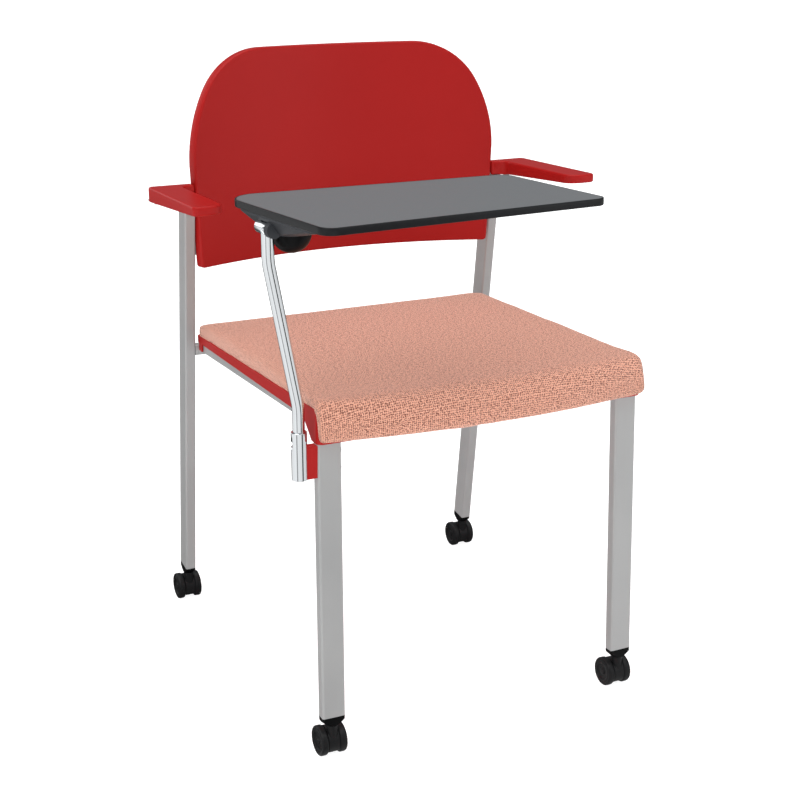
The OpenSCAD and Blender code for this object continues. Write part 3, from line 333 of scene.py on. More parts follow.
def set_points(piece, points):
    """Moves the piece's points to the rows of an array."""
    piece.data.vertices.foreach_set("co", np.ascontiguousarray(points, np.float32).ravel())
    piece.data.update()


# The cover starts as an even mesh that lies just inside the cut foam, and is then blown up a little
# by the foam's pressure. No point of it may travel further than most_swell.
cushion = take_copy("seat_cushion_cover", "seat_cushion")
remesh = cushion.modifiers.new("even", "REMESH")
remesh.mode, remesh.voxel_size = "VOXEL", foam_cell * 0.001
apply_modifiers(cushion)
cut_foam = BVHTree.FromObject(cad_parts["seat_cushion"], bpy.context.evaluated_depsgraph_get())
on_foam = np.array([cut_foam.find_nearest(point)[0] for point in points_of(cushion)])
set_points(cushion, on_foam)
set_points(cushion, on_foam - normals_of(cushion) * foam_shrink * 0.001)
cloth = cushion.modifiers.new("swell", "CLOTH")
cloth.settings.use_pressure = True
cloth.settings.uniform_pressure_force = cover_pressure
cloth.settings.effector_weights.gravity = 0.0
cloth.settings.mass = cover_mass
cloth.point_cache.frame_start, cloth.point_cache.frame_end = 1, swell_steps
for step in range(1, swell_steps + 1):
    bpy.context.scene.frame_set(step)
started = points_of(cushion)
apply_modifiers(cushion)
moved = points_of(cushion) - started
length = np.maximum(np.linalg.norm(moved, axis=1, keepdims=True), 1e-9)
set_points(cushion, started + moved * np.minimum(1, most_swell * 0.001 / length))
bpy.context.scene.frame_set(1)

# The pad is one slab of foam, so it stays nearly level from side to side. Its upper side is moved
# most of the way to the height that its middle, the ridge, has at the same depth, by 8 mm at most.
# The sides stand up straight, 2 mm wider than the cut foam, and 1.5 mm more at the front, and the
# lower edge comes down 1.2 mm over the shell. These sizes are in metres, as the mesh is.
level_share, most_lift, most_dip = 0.8, 0.008, 0.003
full_swell, front_swell, front_drop, drop_height = 0.0020, 0.0015, 0.0012, 0.012
ridge_share, ridge_up, ridge_slices, side_from, side_full = 0.15, 0.3, 40, 0.93, 0.98
upper_from, upper_full = -0.1, 0.7
foam = points_of(cushion)
foam_low, foam_high = (np.array(corner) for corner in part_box("seat_cushion"))
foam_middle, foam_half = (foam_low + foam_high) / 2, (foam_high - foam_low) / 2
aside = (foam[:, 0] - foam_middle[0]) / foam_half[0]
forward = np.clip((foam_high[1] - foam[:, 1]) / (2 * foam_half[1]), 0, 1)
facing_up = normals_of(cushion)[:, 2]
ridge = foam[(np.abs(aside) < ridge_share) & (facing_up > ridge_up)]
slices = np.linspace(ridge[:, 1].min(), ridge[:, 1].max() + 1e-6, ridge_slices + 1)
slice_middle = (slices[1:] + slices[:-1]) / 2
which = np.digitize(ridge[:, 1], slices) - 1
in_slice = np.maximum(np.bincount(which, minlength=ridge_slices), 1)
slice_z = np.bincount(which, ridge[:, 2], ridge_slices) / in_slice
ridge_z = np.interp(foam[:, 1], slice_middle, slice_z)
upper = eased((facing_up - upper_from) / (upper_full - upper_from))
foam[:, 2] += level_share * np.clip(ridge_z - foam[:, 2], -most_dip, most_lift) * upper
foam[:, 2] -= front_drop * np.clip((foam_low[2] + drop_height - foam[:, 2]) / drop_height, 0, 1)
set_points(cushion, foam)
relax = cushion.modifiers.new("relax", "SMOOTH")
relax.factor, relax.iterations = 0.5, 3
apply_modifiers(cushion)
foam = points_of(cushion)
wide = foam_half[0] + full_swell + front_swell * forward ** 4
beside = eased((np.abs(foam[:, 0] - foam_middle[0]) / foam_half[0] - side_from) / (side_full - side_from))
foam[:, 0] += beside * (np.sign(aside) * wide + foam_middle[0] - foam[:, 0])
set_points(cushion, foam)
smooth = cushion.modifiers.new("smooth", "SUBSURF")
smooth.levels = smooth.render_levels = 1
apply_modifiers(cushion)

# The weave follows the cover in metres: across is the side-to-side place, and along is the depth,
# which goes on round the front roll as the roll's radius times the angle, and then straight down.
# On the sides and the rear the distance below the top edge is added.
roll_r, top_edge, rear_band = 0.045, 0.002, 0.02
x, y, z = points_of(cushion).T
roll_y, roll_z = foam_low[1] + roll_r, foam_high[2] - roll_r
round_roll = np.clip(np.arctan2(roll_y - y, np.maximum(z - roll_z, 1e-4)), 0, math.pi / 2)
along = np.where(y > roll_y, y, roll_y - round_roll * roll_r - np.maximum(roll_z - z, 0))
below_top = np.maximum(np.interp(y, slice_middle, slice_z) - top_edge - z, 0)
facing = np.abs(normals_of(cushion))
on_side = (facing[:, 0] > 0.5) & (facing[:, 0] > facing[:, 1])
on_rear = (y > foam_high[1] - rear_band) & (facing[:, 1] > 0.5) & ~on_side
across = x + np.sign(x) * np.where(on_side, below_top, 0)
along = along + np.where(on_rear, below_top, 0)
weave = cushion.data.uv_layers.new(name="weave")
corners = np.zeros(len(cushion.data.loops), int)
cushion.data.loops.foreach_get("vertex_index", corners)
weave.data.foreach_set("uv", np.stack([across, along], 1)[corners].astype(np.float32).ravel())

# Wool blend: a loose basket weave of thick, uneven yarn. The holes between the yarns are painted
# deep brown, as painted shade in the pits, so each crossing stands up light. The yarn is drawn a
# little coarser than the real one.
thread_mm, wander_mm, hole_spread_mm, fibre_mm = 2.5, 5.882, 3.846, 1.111
wander_reach = (0.0008, 0.0008, 0.0)
wool, tree, shader = new_material("salmon_wool_weave", "#dc9a84", 0.92, IOR=1.45, Sheen_Weight=0.25,
                                  Sheen_Roughness=0.5)
lie = add_node(tree, "ShaderNodeUVMap", uv_map="weave")
wander = add_node(tree, "ShaderNodeTexNoise", {"Vector": lie.outputs["UV"],
                                               "Scale": per_metre(wander_mm), "Detail": 2.0})
shifted = add_node(tree, "ShaderNodeVectorMath", {0: wander.outputs["Color"], 1: wander_reach},
                   operation="MULTIPLY")
lie_moved = add_node(tree, "ShaderNodeVectorMath", {0: lie.outputs["UV"], 1: shifted.outputs["Vector"]},
                     operation="ADD")
knots = add_node(tree, "ShaderNodeTexVoronoi", {"Vector": lie_moved.outputs["Vector"],
                                                "Scale": per_metre(thread_mm), "Randomness": 0.4},
                 voronoi_dimensions="2D")
hole_spread = add_node(tree, "ShaderNodeTexNoise", {"Vector": lie.outputs["UV"],
                                              "Scale": per_metre(hole_spread_mm), "Detail": 3.0})
fibre = add_node(tree, "ShaderNodeTexNoise", {"Vector": lie.outputs["UV"],
                                              "Scale": per_metre(fibre_mm), "Detail": 2.0})
hole_size = add_node(tree, "ShaderNodeMapRange", {"Value": hole_spread.outputs["Fac"], "From Min": 0.35,
                                                  "From Max": 0.65, "To Min": 0.18, "To Max": 0.42})
hole_shade_and_depth = add_node(tree, "ShaderNodeMath", {0: hole_size.outputs["Result"], 1: knots.outputs["Distance"]},
                operation="SUBTRACT")
# depth is how deep each hole is for the bump, and also how much painted shade its colour gets.
depth = add_node(tree, "ShaderNodeMapRange", {"Value": hole_shade_and_depth.outputs["Value"], "From Min": -0.12,
                                              "From Max": 0.16, "To Min": 0.0, "To Max": 1.0})
uneven = add_node(tree, "ShaderNodeMapRange", {"Value": fibre.outputs["Fac"], "From Min": 0.34,
                                               "From Max": 0.66})
yarn = add_node(tree, "ShaderNodeMix", {"Factor": uneven.outputs["Result"], "A": linear("#c78068"),
                                        "B": linear("#f7bda4")}, data_type="RGBA")
# The deep brown where the holes are is painted shade in the pits between the yarns.
cover = add_node(tree, "ShaderNodeMix", {"Factor": depth.outputs["Result"], "A": yarn.outputs["Result"],
                                         "B": linear("#713c2c")}, data_type="RGBA")
tree.links.new(cover.outputs["Result"], shader.inputs["Base Color"])
rise = add_node(tree, "ShaderNodeMath", {0: 1.0, 1: depth.outputs["Result"]}, operation="SUBTRACT")
nap = add_node(tree, "ShaderNodeMath", {0: fibre.outputs["Fac"], 1: 0.5, 2: rise.outputs["Value"]},
               operation="MULTIPLY_ADD")
skin = add_node(tree, "ShaderNodeBump", {"Height": nap.outputs["Value"], "Strength": 0.8,
                                         "Distance": 0.0008})
tree.links.new(skin.outputs["Normal"], shader.inputs["Normal"])
cushion.data.materials.append(wool)
cushion.data.shade_smooth()
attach(cushion, "chair")
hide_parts("seat_cushion")


# Back panel
# One curved moulding of the same red polypropylene, hollow towards the sitter, with softly
# rounded edges all round. Four screws hold it to the lugs on the rear legs.

panel_r, panel_t, panel_axis_y = 580.0, 14.0, -347.51
panel_low_z, panel_top_z = 534.0, 823.8
panel_low_half, panel_half = 222.5, 228.0
panel_side_h, panel_side_r, panel_corner_r = 148.0, 199.0, 101.0
panel_foot_r, panel_edge_r = 5.0, 2.6


def grid_faces(rows, columns, ring=False):
    """Four-sided faces between the neighbouring points of a grid, numbered row by row. With
    ring, the last column joins the first. They face outwards where the columns run anticlockwise
    round the axis that the rows climb."""
    i, j = np.meshgrid(np.arange(rows - 1), np.arange(columns if ring else columns - 1), indexing="ij")
    next_j = (j + 1) % columns
    return np.stack([i * columns + j, i * columns + next_j,
                     (i + 1) * columns + next_j, (i + 1) * columns + j], -1).reshape(-1, 4).tolist()


def new_piece(name, points, faces, finish, body, stands_for, sharp=40.0):
    """A piece from points in millimetres. Edges that turn more than sharp degrees stay crisp."""
    mesh = bpy.data.meshes.new(name)
    mesh.from_pydata(placed(points).tolist(), [], faces)
    mesh.validate()
    mesh.shade_smooth()
    mesh.set_sharp_from_angle(angle=math.radians(sharp))
    mesh.materials.append(finish)
    made = bpy.data.objects.new(name, mesh)
    bpy.context.scene.collection.objects.link(made)
    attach(made, body)
    if stands_for:
        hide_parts(*stands_for)
    return made


def panel_view(inset):
    """The panel's front view on a grid, its outline moved in by inset. The half width grows evenly
    up the straight sides. Then two arcs follow, the long one of the side and the corner's, and on
    each it is the arc's middle plus radius times the cosine, as the height is with the sine."""
    foot = np.radians(np.linspace(-90, 0, 7))
    bend_z = panel_top_z - panel_side_h
    reach, rise = panel_side_r - panel_corner_r, panel_side_h - panel_corner_r
    meet = math.asin(rise / reach)
    middle_x = panel_half - panel_side_r + reach * math.cos(meet)
    side = np.linspace(0, meet, 13)
    corner = np.linspace(meet, math.pi / 2, 20)[1:]
    lean = (panel_half - panel_low_half) / (bend_z - panel_low_z)
    foot_z = panel_low_z + panel_foot_r + (panel_foot_r - inset) * np.sin(foot)
    foot_x = panel_low_half - panel_foot_r + (panel_foot_r - inset) * np.cos(foot)
    line_z = np.linspace(panel_low_z + panel_foot_r, bend_z, 16)[1:-1]
    line_x = panel_low_half - inset + lean * (line_z - panel_low_z)
    side_z = bend_z + (panel_side_r - inset) * np.sin(side)
    side_x = panel_half - panel_side_r + (panel_side_r - inset) * np.cos(side)
    corner_z = bend_z + rise + (panel_corner_r - inset) * np.sin(corner)
    corner_x = middle_x + (panel_corner_r - inset) * np.cos(corner)
    height = np.concatenate([foot_z, line_z, side_z, corner_z])
    half = np.concatenate([foot_x, line_x, side_x, corner_x])
    share = np.sin(np.radians(np.linspace(-90, 90, 61)))
    return half[:, None] * share, np.repeat(height[:, None], len(share), 1)


def on_drum(x, z, depth):
    """Bends the front view on to the drum: the turn's sine is x over the middle radius, and the
    depth is measured outwards from the hollow face."""
    turn, radius = np.arcsin(x / (panel_r + panel_t / 2)), panel_r + depth
    return np.stack([radius * np.sin(turn), panel_axis_y + radius * np.cos(turn), z], -1)


def band_faces(last, here):
    """Faces between two rings of point numbers round the panel, from the hollow side backwards."""
    return np.stack([last, np.roll(last, -1), np.roll(here, -1), here], -1)[:, ::-1].tolist()


# The hollow face is a grid. From its outline, rings go round the edge's half circle to the outer
# face: each is moved in by r(1 - sin) and back by r(1 - cos) of its angle, and past the middle also
# by the flat part of the thickness.
front_x, front_z = panel_view(panel_edge_r)
rows, columns = front_x.shape
number = np.arange(rows * columns).reshape(rows, columns)
outline = np.concatenate([number[0, :-1], number[:-1, -1], number[-1, :0:-1], number[:0:-1, 0]])
points = [on_drum(front_x, front_z, 0.0).reshape(-1, 3)]
faces, last, start = grid_faces(rows, columns), outline, rows * columns
for angle in np.radians(np.linspace(0, 180, 13)[1:-1]):
    flat_t = (panel_t - 2 * panel_edge_r) * (angle > math.pi / 2)
    ring_x, ring_z = panel_view(panel_edge_r * (1 - math.sin(angle)))
    ring = on_drum(ring_x, ring_z, panel_edge_r * (1 - math.cos(angle)) + flat_t)
    points.append(ring.reshape(-1, 3)[outline])
    here = np.arange(start, start + len(outline))
    faces += band_faces(last, here)
    last, start = here, start + len(outline)
points.append(on_drum(front_x, front_z, panel_t).reshape(-1, 3))
faces += band_faces(last, outline + start)
faces += [[start + k for k in face[::-1]] for face in grid_faces(rows, columns)]
new_piece("back_panel_moulding", np.concatenate(points), faces, red_plastic, "chair", ["back_panel"])


# Arms
# An L-shaped moulding on each side, of the same red, from the panel's edge outwards over the rear
# leg and then forwards. Two screws hold each one to the plate on top of the leg.

arm_rear_y, arm_length, arm_stub = 205.05, 202.4, 17.0
arm_in, arm_width, arm_inner_end = 246.5, 41.0, 227.25
arm_rear_top, arm_tip_extra, arm_rear_t, arm_tip_t = 650.0, 7.0, 21.0, 12.0
arm_edge_r = 2.8


def soft_outline(corners, radii, steps=10):
    """An outline with round corners, anticlockwise, and the inward direction at each of its
    points. A corner's arc has its middle on the inner side where the outline turns left and on
    the outer side where it turns right; its points lie a radius from there."""
    corners, places, inwards = np.asarray(corners, float), [], []
    for k, radius in enumerate(radii):
        along = corners[k] - corners[k - 1], corners[(k + 1) % len(corners)] - corners[k]
        before, after = (np.array([-d[1], d[0]]) / np.hypot(*d) for d in along)
        left = math.copysign(1, along[0][0] * along[1][1] - along[0][1] * along[1][0])
        middle = corners[k] + left * radius * (before + after) / (1 + before @ after)
        start = math.atan2(before[1], before[0])
        turn = (math.atan2(after[1], after[0]) - start + math.pi) % (2 * math.pi) - math.pi
        angle = start + turn * np.linspace(0, 1, steps)
        inward = np.stack([np.cos(angle), np.sin(angle)], -1)
        places.append(middle - left * radius * inward)
        inwards.append(inward)
    return np.concatenate(places), np.concatenate(inwards)


def soft_slab(outline, inward, low, high, low_r, high_r, steps=5, flat_rim=0.4):
    """The rings of a slab with rounded upper and lower edges. Each ring is the outline moved
    inwards by r(1 - sin) and up or down by r(1 - cos) of an angle that goes from the flat face
    to the upright side. The first and last rings lie flat_rim further in, so that the flat faces
    stay flat to their edges. low and high are functions of the place in the plan."""
    rings = []
    for angle in np.radians(np.linspace(0, 90, steps)):
        plan = outline + inward * low_r * (1 - math.sin(angle))
        rings.append(np.column_stack([plan, low(plan) + low_r * (1 - math.cos(angle))]))
    for angle in np.radians(np.linspace(90, 0, steps)):
        plan = outline + inward * high_r * (1 - math.sin(angle))
        rings.append(np.column_stack([plan, high(plan) - high_r * (1 - math.cos(angle))]))
    inner = outline + inward * (low_r + flat_rim)
    rings.insert(0, np.column_stack([inner, low(inner)]))
    inner = outline + inward * (high_r + flat_rim)
    rings.append(np.column_stack([inner, high(inner)]))
    return np.stack(rings)


def closed_rings(rings):
    """Points and faces of a stack of rings, closed by one face at either end."""
    count, around = rings.shape[:2]
    faces = grid_faces(count, around, ring=True)
    return rings.reshape(-1, 3), faces + [list(range(around))[::-1],
                                          list(range((count - 1) * around, count * around))]


def arm_high(plan):
    """The arm's upper side climbs evenly from its rear to its tip."""
    return arm_rear_top + arm_tip_extra * (arm_rear_y - plan[:, 1]) / arm_length


def arm_low(plan):
    """The arm's lower side: the upper side less a thickness that shrinks evenly to the tip."""
    thinner = (arm_rear_t - arm_tip_t) * (arm_rear_y - plan[:, 1]) / arm_length
    return arm_high(plan) - arm_rear_t + thinner


arm_corners = [(arm_inner_end, arm_rear_y - arm_stub), (arm_in, arm_rear_y - arm_stub),
               (arm_in, arm_rear_y - arm_length), (arm_in + arm_width, arm_rear_y - arm_length),
               (arm_in + arm_width, arm_rear_y), (arm_inner_end, arm_rear_y)]
arm_corner_r = [3.0, 14.0, 20.0, 8.0, 6.0, 3.0]
plan, inward = soft_outline(arm_corners, arm_corner_r)
for side, name in ((1, "left"), (-1, "right")):
    turned = slice(None, None, side)
    rings = soft_slab(plan * (side, 1), inward * (side, 1), arm_low, arm_high, arm_edge_r, arm_edge_r)
    points, faces = closed_rings(rings[:, turned])
    new_piece(f"arm_moulding_{name}", points, faces, red_plastic, "chair", [f"arm_{name}"])


# Casters
# Twin-wheel casters of black nylon. A cap fills the leg's end and takes the stem; the hood
# hangs on the stem, and the wheels turn on the ends of a steel axle.

# Nylon: moulded, tough and slightly oily to look at, so it is satin black rather than dull.
nylon_grain_mm, nylon_dust_mm = 0.714, 16.7
nylon, tree, shader = new_material("black_nylon", "#161617", 0.42, IOR=1.53, Specular_IOR_Level=0.15)
place = add_node(tree, "ShaderNodeTexCoord")
grain = add_node(tree, "ShaderNodeTexNoise", {"Vector": place.outputs["Object"],
                                              "Scale": per_metre(nylon_grain_mm), "Detail": 2.0})
dust = add_node(tree, "ShaderNodeTexNoise", {"Vector": place.outputs["Object"],
                                             "Scale": per_metre(nylon_dust_mm), "Detail": 3.0})
tone = add_node(tree, "ShaderNodeMix", {"Factor": dust.outputs["Fac"], "A": linear("#131314"),
                                        "B": linear("#1b1b1c")}, data_type="RGBA")
tree.links.new(tone.outputs["Result"], shader.inputs["Base Color"])
skin = add_node(tree, "ShaderNodeBump", {"Height": grain.outputs["Fac"], "Strength": 0.08,
                                         "Distance": 0.0001})
tree.links.new(skin.outputs["Normal"], shader.inputs["Normal"])
corner_names = [f"{end}_{side}" for end in ("front", "rear") for side in ("left", "right")]
dress(nylon, *[f"caster_hood_{c}" for c in corner_names])

# Low-density polythene of the pressed-in caps and covers: self-coloured jet black, soft and waxy.
polythene_wax_mm = 11.1
polythene, tree, shader = new_material("black_polythene", "#080809", 0.36, IOR=1.51,
                                       Specular_IOR_Level=0.1)
place = add_node(tree, "ShaderNodeTexCoord")
wax = add_node(tree, "ShaderNodeTexNoise", {"Vector": place.outputs["Object"],
                                            "Scale": per_metre(polythene_wax_mm), "Detail": 3.0})
tone = add_node(tree, "ShaderNodeMix", {"Factor": wax.outputs["Fac"], "A": linear("#050506"),
                                        "B": linear("#0a0a0b")}, data_type="RGBA")
tree.links.new(tone.outputs["Result"], shader.inputs["Base Color"])
satin = add_node(tree, "ShaderNodeMapRange", {"Value": wax.outputs["Fac"],
                                              "To Min": 0.3, "To Max": 0.42})
tree.links.new(satin.outputs["Result"], shader.inputs["Roughness"])
dress(polythene, *[f"leg_cap_{c}" for c in corner_names], "sleeve_plug")

# A wheel's profile: the tread's edges are round, and its outer side has a groove inside the rim, a
# shallow dish and a round hub. It ends near_axis short of the axis.
wheel_r, wheel_w, tread_r, axle_r, bore_depth, inner_edge = 19.4, 9.6, 2.6, 2.6, 8.0, 0.4
groove = np.array([(-1.2, 0.0), (-1.6, -0.5), (-2.0, -0.5), (-2.4, 0.0)])
dish_r, dish_edge_r, dish_rim_r, dish_rim_t, dish_foot_r, dish_t = 12.2, 0.8, 10.6, 1.5, 4.8, 1.7
hub_r, hub_edge_r, hub_t, hub_crown, near_axis = 3.9, 0.7, 0.5, 0.1, 0.02


def revolved(profile, sides):
    """Points (distance from the axis, height along it) turned about z: x is the distance times
    the cosine and y the distance times the sine of each angle."""
    angle = np.linspace(0, 2 * math.pi, sides, endpoint=False)
    distance, height = np.asarray(profile, float).T
    return np.stack([distance[:, None] * np.cos(angle), distance[:, None] * np.sin(angle),
                     np.repeat(height[:, None], sides, 1)], -1)


def arc(middle, radius, start, stop, steps=7):
    """Points of an arc in a profile, from one angle to another in degrees."""
    angle = np.radians(np.linspace(start, stop, steps))
    return np.column_stack([middle[0] + radius * np.cos(angle), middle[1] + radius * np.sin(angle)])


half, rim_r = wheel_w / 2, wheel_r - tread_r
wheel_profile = np.concatenate([
    [(near_axis, -half + bore_depth), (axle_r, -half + bore_depth), (axle_r, -half),
     (rim_r - inner_edge, -half)],
    arc((rim_r, -half + tread_r), tread_r, -90, 0),
    arc((rim_r, half - tread_r), tread_r, 0, 90),
    groove + (rim_r, half),
    arc((dish_r, half - dish_edge_r), dish_edge_r, 90, 160, 4),
    [(dish_rim_r, half - dish_rim_t), (dish_foot_r, half - dish_t)],
    arc((hub_r, half - hub_t - hub_edge_r), hub_edge_r, 0, 90, 4),
    [(near_axis, half - hub_t + hub_crown)]])
for node in sorted(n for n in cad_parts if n.startswith("wheel_")):
    low, high = (np.array(corner) * 1000 - part_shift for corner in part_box(node))
    middle = (low + high) / 2
    outwards = np.sign(middle[0]) * (1 if node.endswith("outer") else -1)
    rings = revolved(wheel_profile, 56)
    turned = np.stack([rings[..., 2] * outwards, rings[..., 0] * outwards, rings[..., 1]], -1)
    points, faces = closed_rings(turned + middle)
    new_piece(node + "_moulding", points, faces, nylon, node, [node])


# Post, sleeve and small steel
# The post and its sleeve are steel tube, polished and chromed. Screws, axles and the stop pin
# are plain zinc-plated steel.

# Chrome plate: mirror-bright with a faint blue cast, and hairline marks from polishing.
chrome_polish_mm = 4.17
chrome, tree, shader = new_material("chrome_plate", "#e3e6e8", 0.08, metallic=1.0)
place = add_node(tree, "ShaderNodeTexCoord")
polish = add_node(tree, "ShaderNodeTexNoise", {"Vector": place.outputs["Object"],
                                               "Scale": per_metre(chrome_polish_mm), "Detail": 3.0})
bright = add_node(tree, "ShaderNodeMapRange", {"Value": polish.outputs["Fac"],
                                               "To Min": 0.05, "To Max": 0.13})
tree.links.new(bright.outputs["Result"], shader.inputs["Roughness"])
dress(chrome, "pivot_plugs")

sleeve_place, sleeve_r, sleeve_wall = np.array([-239.97, -212.60, 371.0]), 9.5, 2.15
sleeve_len, slot_low, slot_high, slot_from, slot_to = 58.5, 40.5, 47.5, 0.5, 195.0
post_r, post_turn, post_out, pivot_z = 7.25, math.radians(9), 34.0, 672.0
post_foot_z, post_into_tube = 375.3, 3.0
bend_from, bend_r, bend_angle = 451.0, 90.0, math.radians(11)
pivot_rear, pivot_front, pivot_r, tube_wall = 16.0, 14.0, 7.5, 1.5


def swept(path, profile, across):
    """A profile carried along a path that bends in one plane. At each point of the path the
    profile's first axis is the plane's normal, and its second is the path's direction crossed
    with that normal."""
    ahead = np.gradient(path, axis=0)
    ahead /= np.linalg.norm(ahead, axis=1, keepdims=True)
    second = np.cross(ahead, across)
    return (path[:, None] + profile[None, :, :1] * np.asarray(across, float)
            + profile[None, :, 1:] * second[:, None])


def from_post(points):
    """Turns points of the post's own frame, where the post leans towards -x, with the tablet's
    turn about the sleeve, and moves them to the sleeve."""
    cosine, sine = math.cos(post_turn), math.sin(post_turn)
    points = np.asarray(points, float)
    return np.stack([points[..., 0] * cosine - points[..., 1] * sine + sleeve_place[0],
                     points[..., 0] * sine + points[..., 1] * cosine + sleeve_place[1], points[..., 2]], -1)


def circle(radius, sides=40):
    """A circle's points, anticlockwise."""
    angle = np.linspace(0, 2 * math.pi, sides, endpoint=False)
    return radius * np.column_stack([np.cos(angle), np.sin(angle)])


# The post's middle line: upright in the sleeve, bent outwards, straight, bent back by as much, and
# upright again into the underside of the cross tube.
turn = np.linspace(0, bend_angle, 12)
step_out, step_up = bend_r * (1 - np.cos(turn)), bend_r * np.sin(turn)
lean = (post_out - 2 * step_out[-1]) / math.tan(bend_angle)
upper_z = bend_from + 2 * step_up[-1] + lean
post_path = np.concatenate([
    np.column_stack([np.zeros(12), np.linspace(post_foot_z, bend_from, 12)]),
    np.column_stack([-step_out, bend_from + step_up])[1:],
    np.column_stack([-post_out + step_out, upper_z - step_up])[::-1],
    np.column_stack([np.full(6, -post_out), np.linspace(upper_z, pivot_z - post_into_tube, 6)])[1:]])
post_path = np.column_stack([post_path[:, 0], np.zeros(len(post_path)), post_path[:, 1]])
points, faces = closed_rings(swept(post_path, circle(post_r), (0.0, 1.0, 0.0)))
new_piece("post_tube", from_post(points), faces, chrome, "post", ["tablet_post"])

cross_len, cross_edge_r = pivot_rear + pivot_front, 0.4
cross_profile = np.concatenate([
    arc((pivot_r - cross_edge_r, cross_edge_r), cross_edge_r, -90, 0, 4),
    arc((pivot_r - cross_edge_r, cross_len - cross_edge_r), cross_edge_r, 0, 90, 4),
    [(pivot_r - tube_wall, cross_len), (pivot_r - tube_wall, 0.0)]])
rings = revolved(cross_profile, 44)
rings = np.concatenate([rings, rings[:1]])
turned = np.stack([rings[..., 0] - post_out, pivot_rear - rings[..., 2], rings[..., 1] + pivot_z], -1)
faces = grid_faces(len(rings), rings.shape[1], ring=True)
new_piece("cross_tube", from_post(turned.reshape(-1, 3)), faces, chrome, "post", ["pivot_tube"])

# The weld runs round the post where it meets the cross tube: a bead on the saddle curve, whose
# height is the tube's middle less the root of its radius squared less x squared, with x across it.
bead_r, bead_down, ripple_share, ripple_count = 1.0, 0.3, 0.1, 22
angle = np.linspace(0, 2 * math.pi, 60, endpoint=False)
saddle = np.column_stack([post_r * np.cos(angle) - post_out, post_r * np.sin(angle),
                          pivot_z - np.sqrt(pivot_r ** 2 - (post_r * np.cos(angle)) ** 2)])
outward = np.column_stack([np.cos(angle), np.sin(angle), np.zeros(len(angle))])
upward = np.array([0.0, 0.0, 1.0])
bead = circle(bead_r, 10)[::-1]
ripple = 1 + ripple_share * np.sin(angle * ripple_count)
rings = (saddle - upward * bead_down)[:, None] + ripple[:, None, None] * (
    outward[:, None] * bead[None, :, :1] + upward * bead[None, :, 1:])
rings = np.concatenate([rings, rings[:1]])
faces = grid_faces(len(rings), len(bead), ring=True)
new_piece("post_weld", from_post(rings.reshape(-1, 3)), faces, chrome, "post", [])

# The sleeve is an open tube on a grid of angles and heights, with a ring of points near either end.
# The faces of the slot are left out, and the wall gets its thickness inwards.
slot_steps, rest_steps, end_ring = 48, 42, 0.5
angle = np.radians(np.concatenate([np.linspace(slot_from, slot_to, slot_steps + 1),
                                   np.linspace(slot_to, 360 + slot_from, rest_steps + 1)[1:-1]]))
height = np.concatenate([[0.0, end_ring], np.linspace(6, slot_low, 6),
                         np.linspace(slot_low, slot_high, 3)[1:], [sleeve_len - end_ring, sleeve_len]])
around, up = np.meshgrid(angle, height)
wall = np.stack([sleeve_r * np.cos(around), sleeve_r * np.sin(around), up], -1) + sleeve_place
in_slot = (slot_low <= up) & (up < slot_high) & (np.arange(len(angle)) < slot_steps)
faces = [face for face in grid_faces(len(height), len(angle), ring=True) if not in_slot.flat[face[0]]]
sleeve = new_piece("sleeve_tube", wall.reshape(-1, 3), faces, chrome, "chair", ["post_sleeve"])
thickness = sleeve.modifiers.new("wall", "SOLIDIFY")
thickness.thickness, thickness.offset = sleeve_wall * 0.001, -1.0

# Zinc plate: a dull silver with a slightly cloudy surface.
zinc_cloud_mm = 3.33
zinc, tree, shader = new_material("zinc_plate", "#a7a9ab", 0.34, metallic=1.0)
place = add_node(tree, "ShaderNodeTexCoord")
cloud = add_node(tree, "ShaderNodeTexNoise", {"Vector": place.outputs["Object"],
                                              "Scale": per_metre(zinc_cloud_mm), "Detail": 2.0})
bright = add_node(tree, "ShaderNodeMapRange", {"Value": cloud.outputs["Fac"],
                                               "To Min": 0.26, "To Max": 0.44})
tree.links.new(bright.outputs["Result"], shader.inputs["Roughness"])
dress(zinc, "seat_screws", "back_screws", "arm_screws", "block_screws", "stop_pin", "tablet_screws",
      *[f"caster_axle_{c}" for c in corner_names])


# Tablet
# A board of chipboard faced with grey laminate and edged with a dark band, screwed to a moulded
# housing that tips on the cross tube. A round black cover closes the housing beside the post.

# High-pressure laminate: melamine pressed on a fine matt plate, so its grey face is an even satin.
laminate_grain_mm = 1.43
laminate, tree, shader = new_material("grey_laminate", "#6b6d6f", 0.56, IOR=1.3)
place = add_node(tree, "ShaderNodeTexCoord")
cloud = add_node(tree, "ShaderNodeTexNoise", {"Vector": place.outputs["Object"],
                                              "Scale": per_metre(laminate_grain_mm), "Detail": 3.0})
tone = add_node(tree, "ShaderNodeMix", {"Factor": cloud.outputs["Fac"], "A": linear("#656769"),
                                        "B": linear("#6e7072")}, data_type="RGBA")
tree.links.new(tone.outputs["Result"], shader.inputs["Base Color"])
skin = add_node(tree, "ShaderNodeBump", {"Height": cloud.outputs["Fac"], "Strength": 0.03,
                                         "Distance": 0.0001})
tree.links.new(skin.outputs["Normal"], shader.inputs["Normal"])

tablet_corners = [(-9.0, -137.0), (345.0, -169.0), (345.0, 20.0), (-9.0, 87.0)]
tablet_corner_r, tablet_top, tablet_t, band_t = [18.0, 14.0, 18.0, 32.0], 695.5, 8.5, 2.0
board_gap, board_up, board_down, board_edge_r = 0.02, 0.1, 0.05, 0.3


def level(height):
    """A flat face at one height."""
    return lambda plan: np.full(len(plan), height)


plan, inward = soft_outline(tablet_corners, tablet_corner_r, steps=18)
plan = plan - (post_out, 0)
rings = soft_slab(plan + inward * (band_t + board_gap), inward, level(tablet_top - tablet_t + board_up),
                  level(tablet_top - board_down), board_edge_r, board_edge_r)
points, faces = closed_rings(rings)
new_piece("tablet_board_laminate", from_post(points), faces, laminate, "tablet", ["tablet_board"])

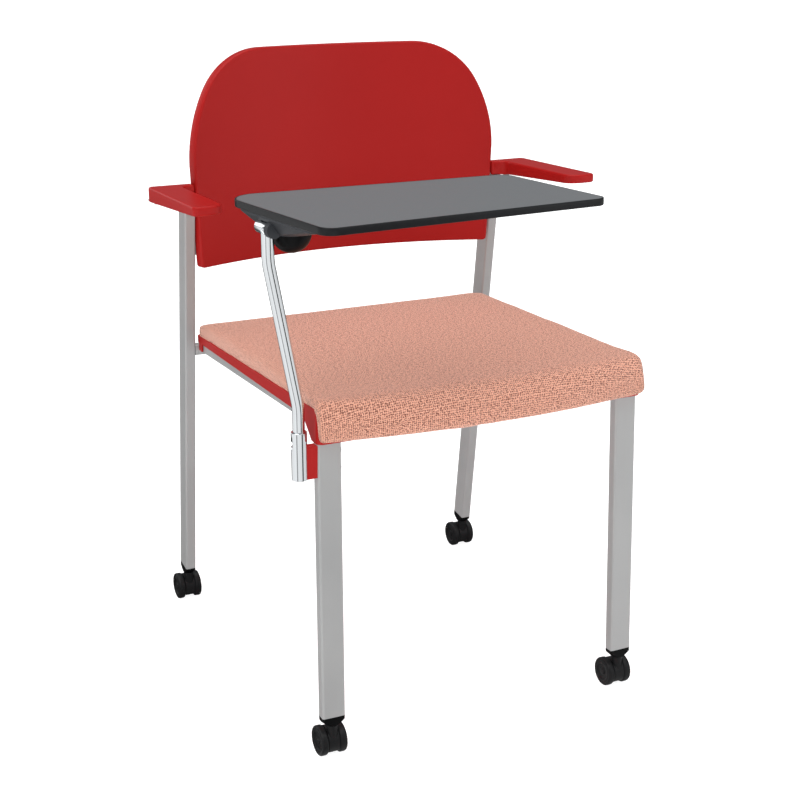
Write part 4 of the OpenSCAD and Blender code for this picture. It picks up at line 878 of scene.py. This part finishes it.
# Edge band: extruded ABS, glued on, scraped flush and eased, so its dark sides catch a thin light.
band_drag_mm, band_low_r, band_high_r = 8.33, 1.1, 0.9
band, tree, shader = new_material("dark_abs_edge", "#1d1e20", 0.34, IOR=1.52, Specular_IOR_Level=0.2)
place = add_node(tree, "ShaderNodeTexCoord")
drag = add_node(tree, "ShaderNodeTexNoise", {"Vector": place.outputs["Object"],
                                             "Scale": per_metre(band_drag_mm), "Detail": 3.0})
tone = add_node(tree, "ShaderNodeMix", {"Factor": drag.outputs["Fac"], "A": linear("#101113"),
                                        "B": linear("#1a1b1d")}, data_type="RGBA")
tree.links.new(tone.outputs["Result"], shader.inputs["Base Color"])

rings = soft_slab(plan, inward, level(tablet_top - tablet_t), level(tablet_top), band_low_r, band_high_r)
inner = plan + inward * band_t
rings = np.concatenate([rings[1:-1], [np.column_stack([inner, level(z)(inner)])
                                      for z in (tablet_top, tablet_top - tablet_t)], rings[1:2]])
faces = grid_faces(len(rings), len(plan), ring=True)
new_piece("tablet_edge_band", from_post(rings.reshape(-1, 3)), faces, band, "tablet", ["tablet_edge"])

# Housing: glass-filled nylon, dark grey, with the fine matt grain of an etched mould.
housing_grain_mm = 0.769
grey_nylon, tree, shader = new_material("grey_glass_filled_nylon", "#3f4144", 0.5, IOR=1.53,
                                        Specular_IOR_Level=0.25)
place = add_node(tree, "ShaderNodeTexCoord")
grain = add_node(tree, "ShaderNodeTexNoise", {"Vector": place.outputs["Object"],
                                              "Scale": per_metre(housing_grain_mm), "Detail": 2.0})
tone = add_node(tree, "ShaderNodeMix", {"Factor": grain.outputs["Fac"], "A": linear("#2b2d30"),
                                        "B": linear("#34363a")}, data_type="RGBA")
tree.links.new(tone.outputs["Result"], shader.inputs["Base Color"])
skin = add_node(tree, "ShaderNodeBump", {"Height": grain.outputs["Fac"], "Strength": 0.1,
                                         "Distance": 0.0001})
tree.links.new(skin.outputs["Normal"], shader.inputs["Normal"])
dress(grey_nylon, "tablet_housing")

# Dome cover: a half ball with a low flat-topped rim above it, pressed up against the housing.
dome_r, dome_rim_t, dome_edge = 23.0, 2.0, 0.4
low, high = (np.array(corner) * 1000 - part_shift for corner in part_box("housing_dome"))
middle = (low + high) / 2
dome = np.concatenate([[(near_axis, -dome_r)], arc((0, 0), dome_r, -88, 0, 24), [
    (dome_r, dome_rim_t - dome_edge), (dome_r - dome_edge, dome_rim_t), (near_axis, dome_rim_t)]])
rings = revolved(dome, 56) + (middle[0], middle[1], low[2] + dome_r)
points, faces = closed_rings(rings)
new_piece("housing_dome_cover", points, faces, polythene, "tablet", ["housing_dome"])


# Size
low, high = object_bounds()
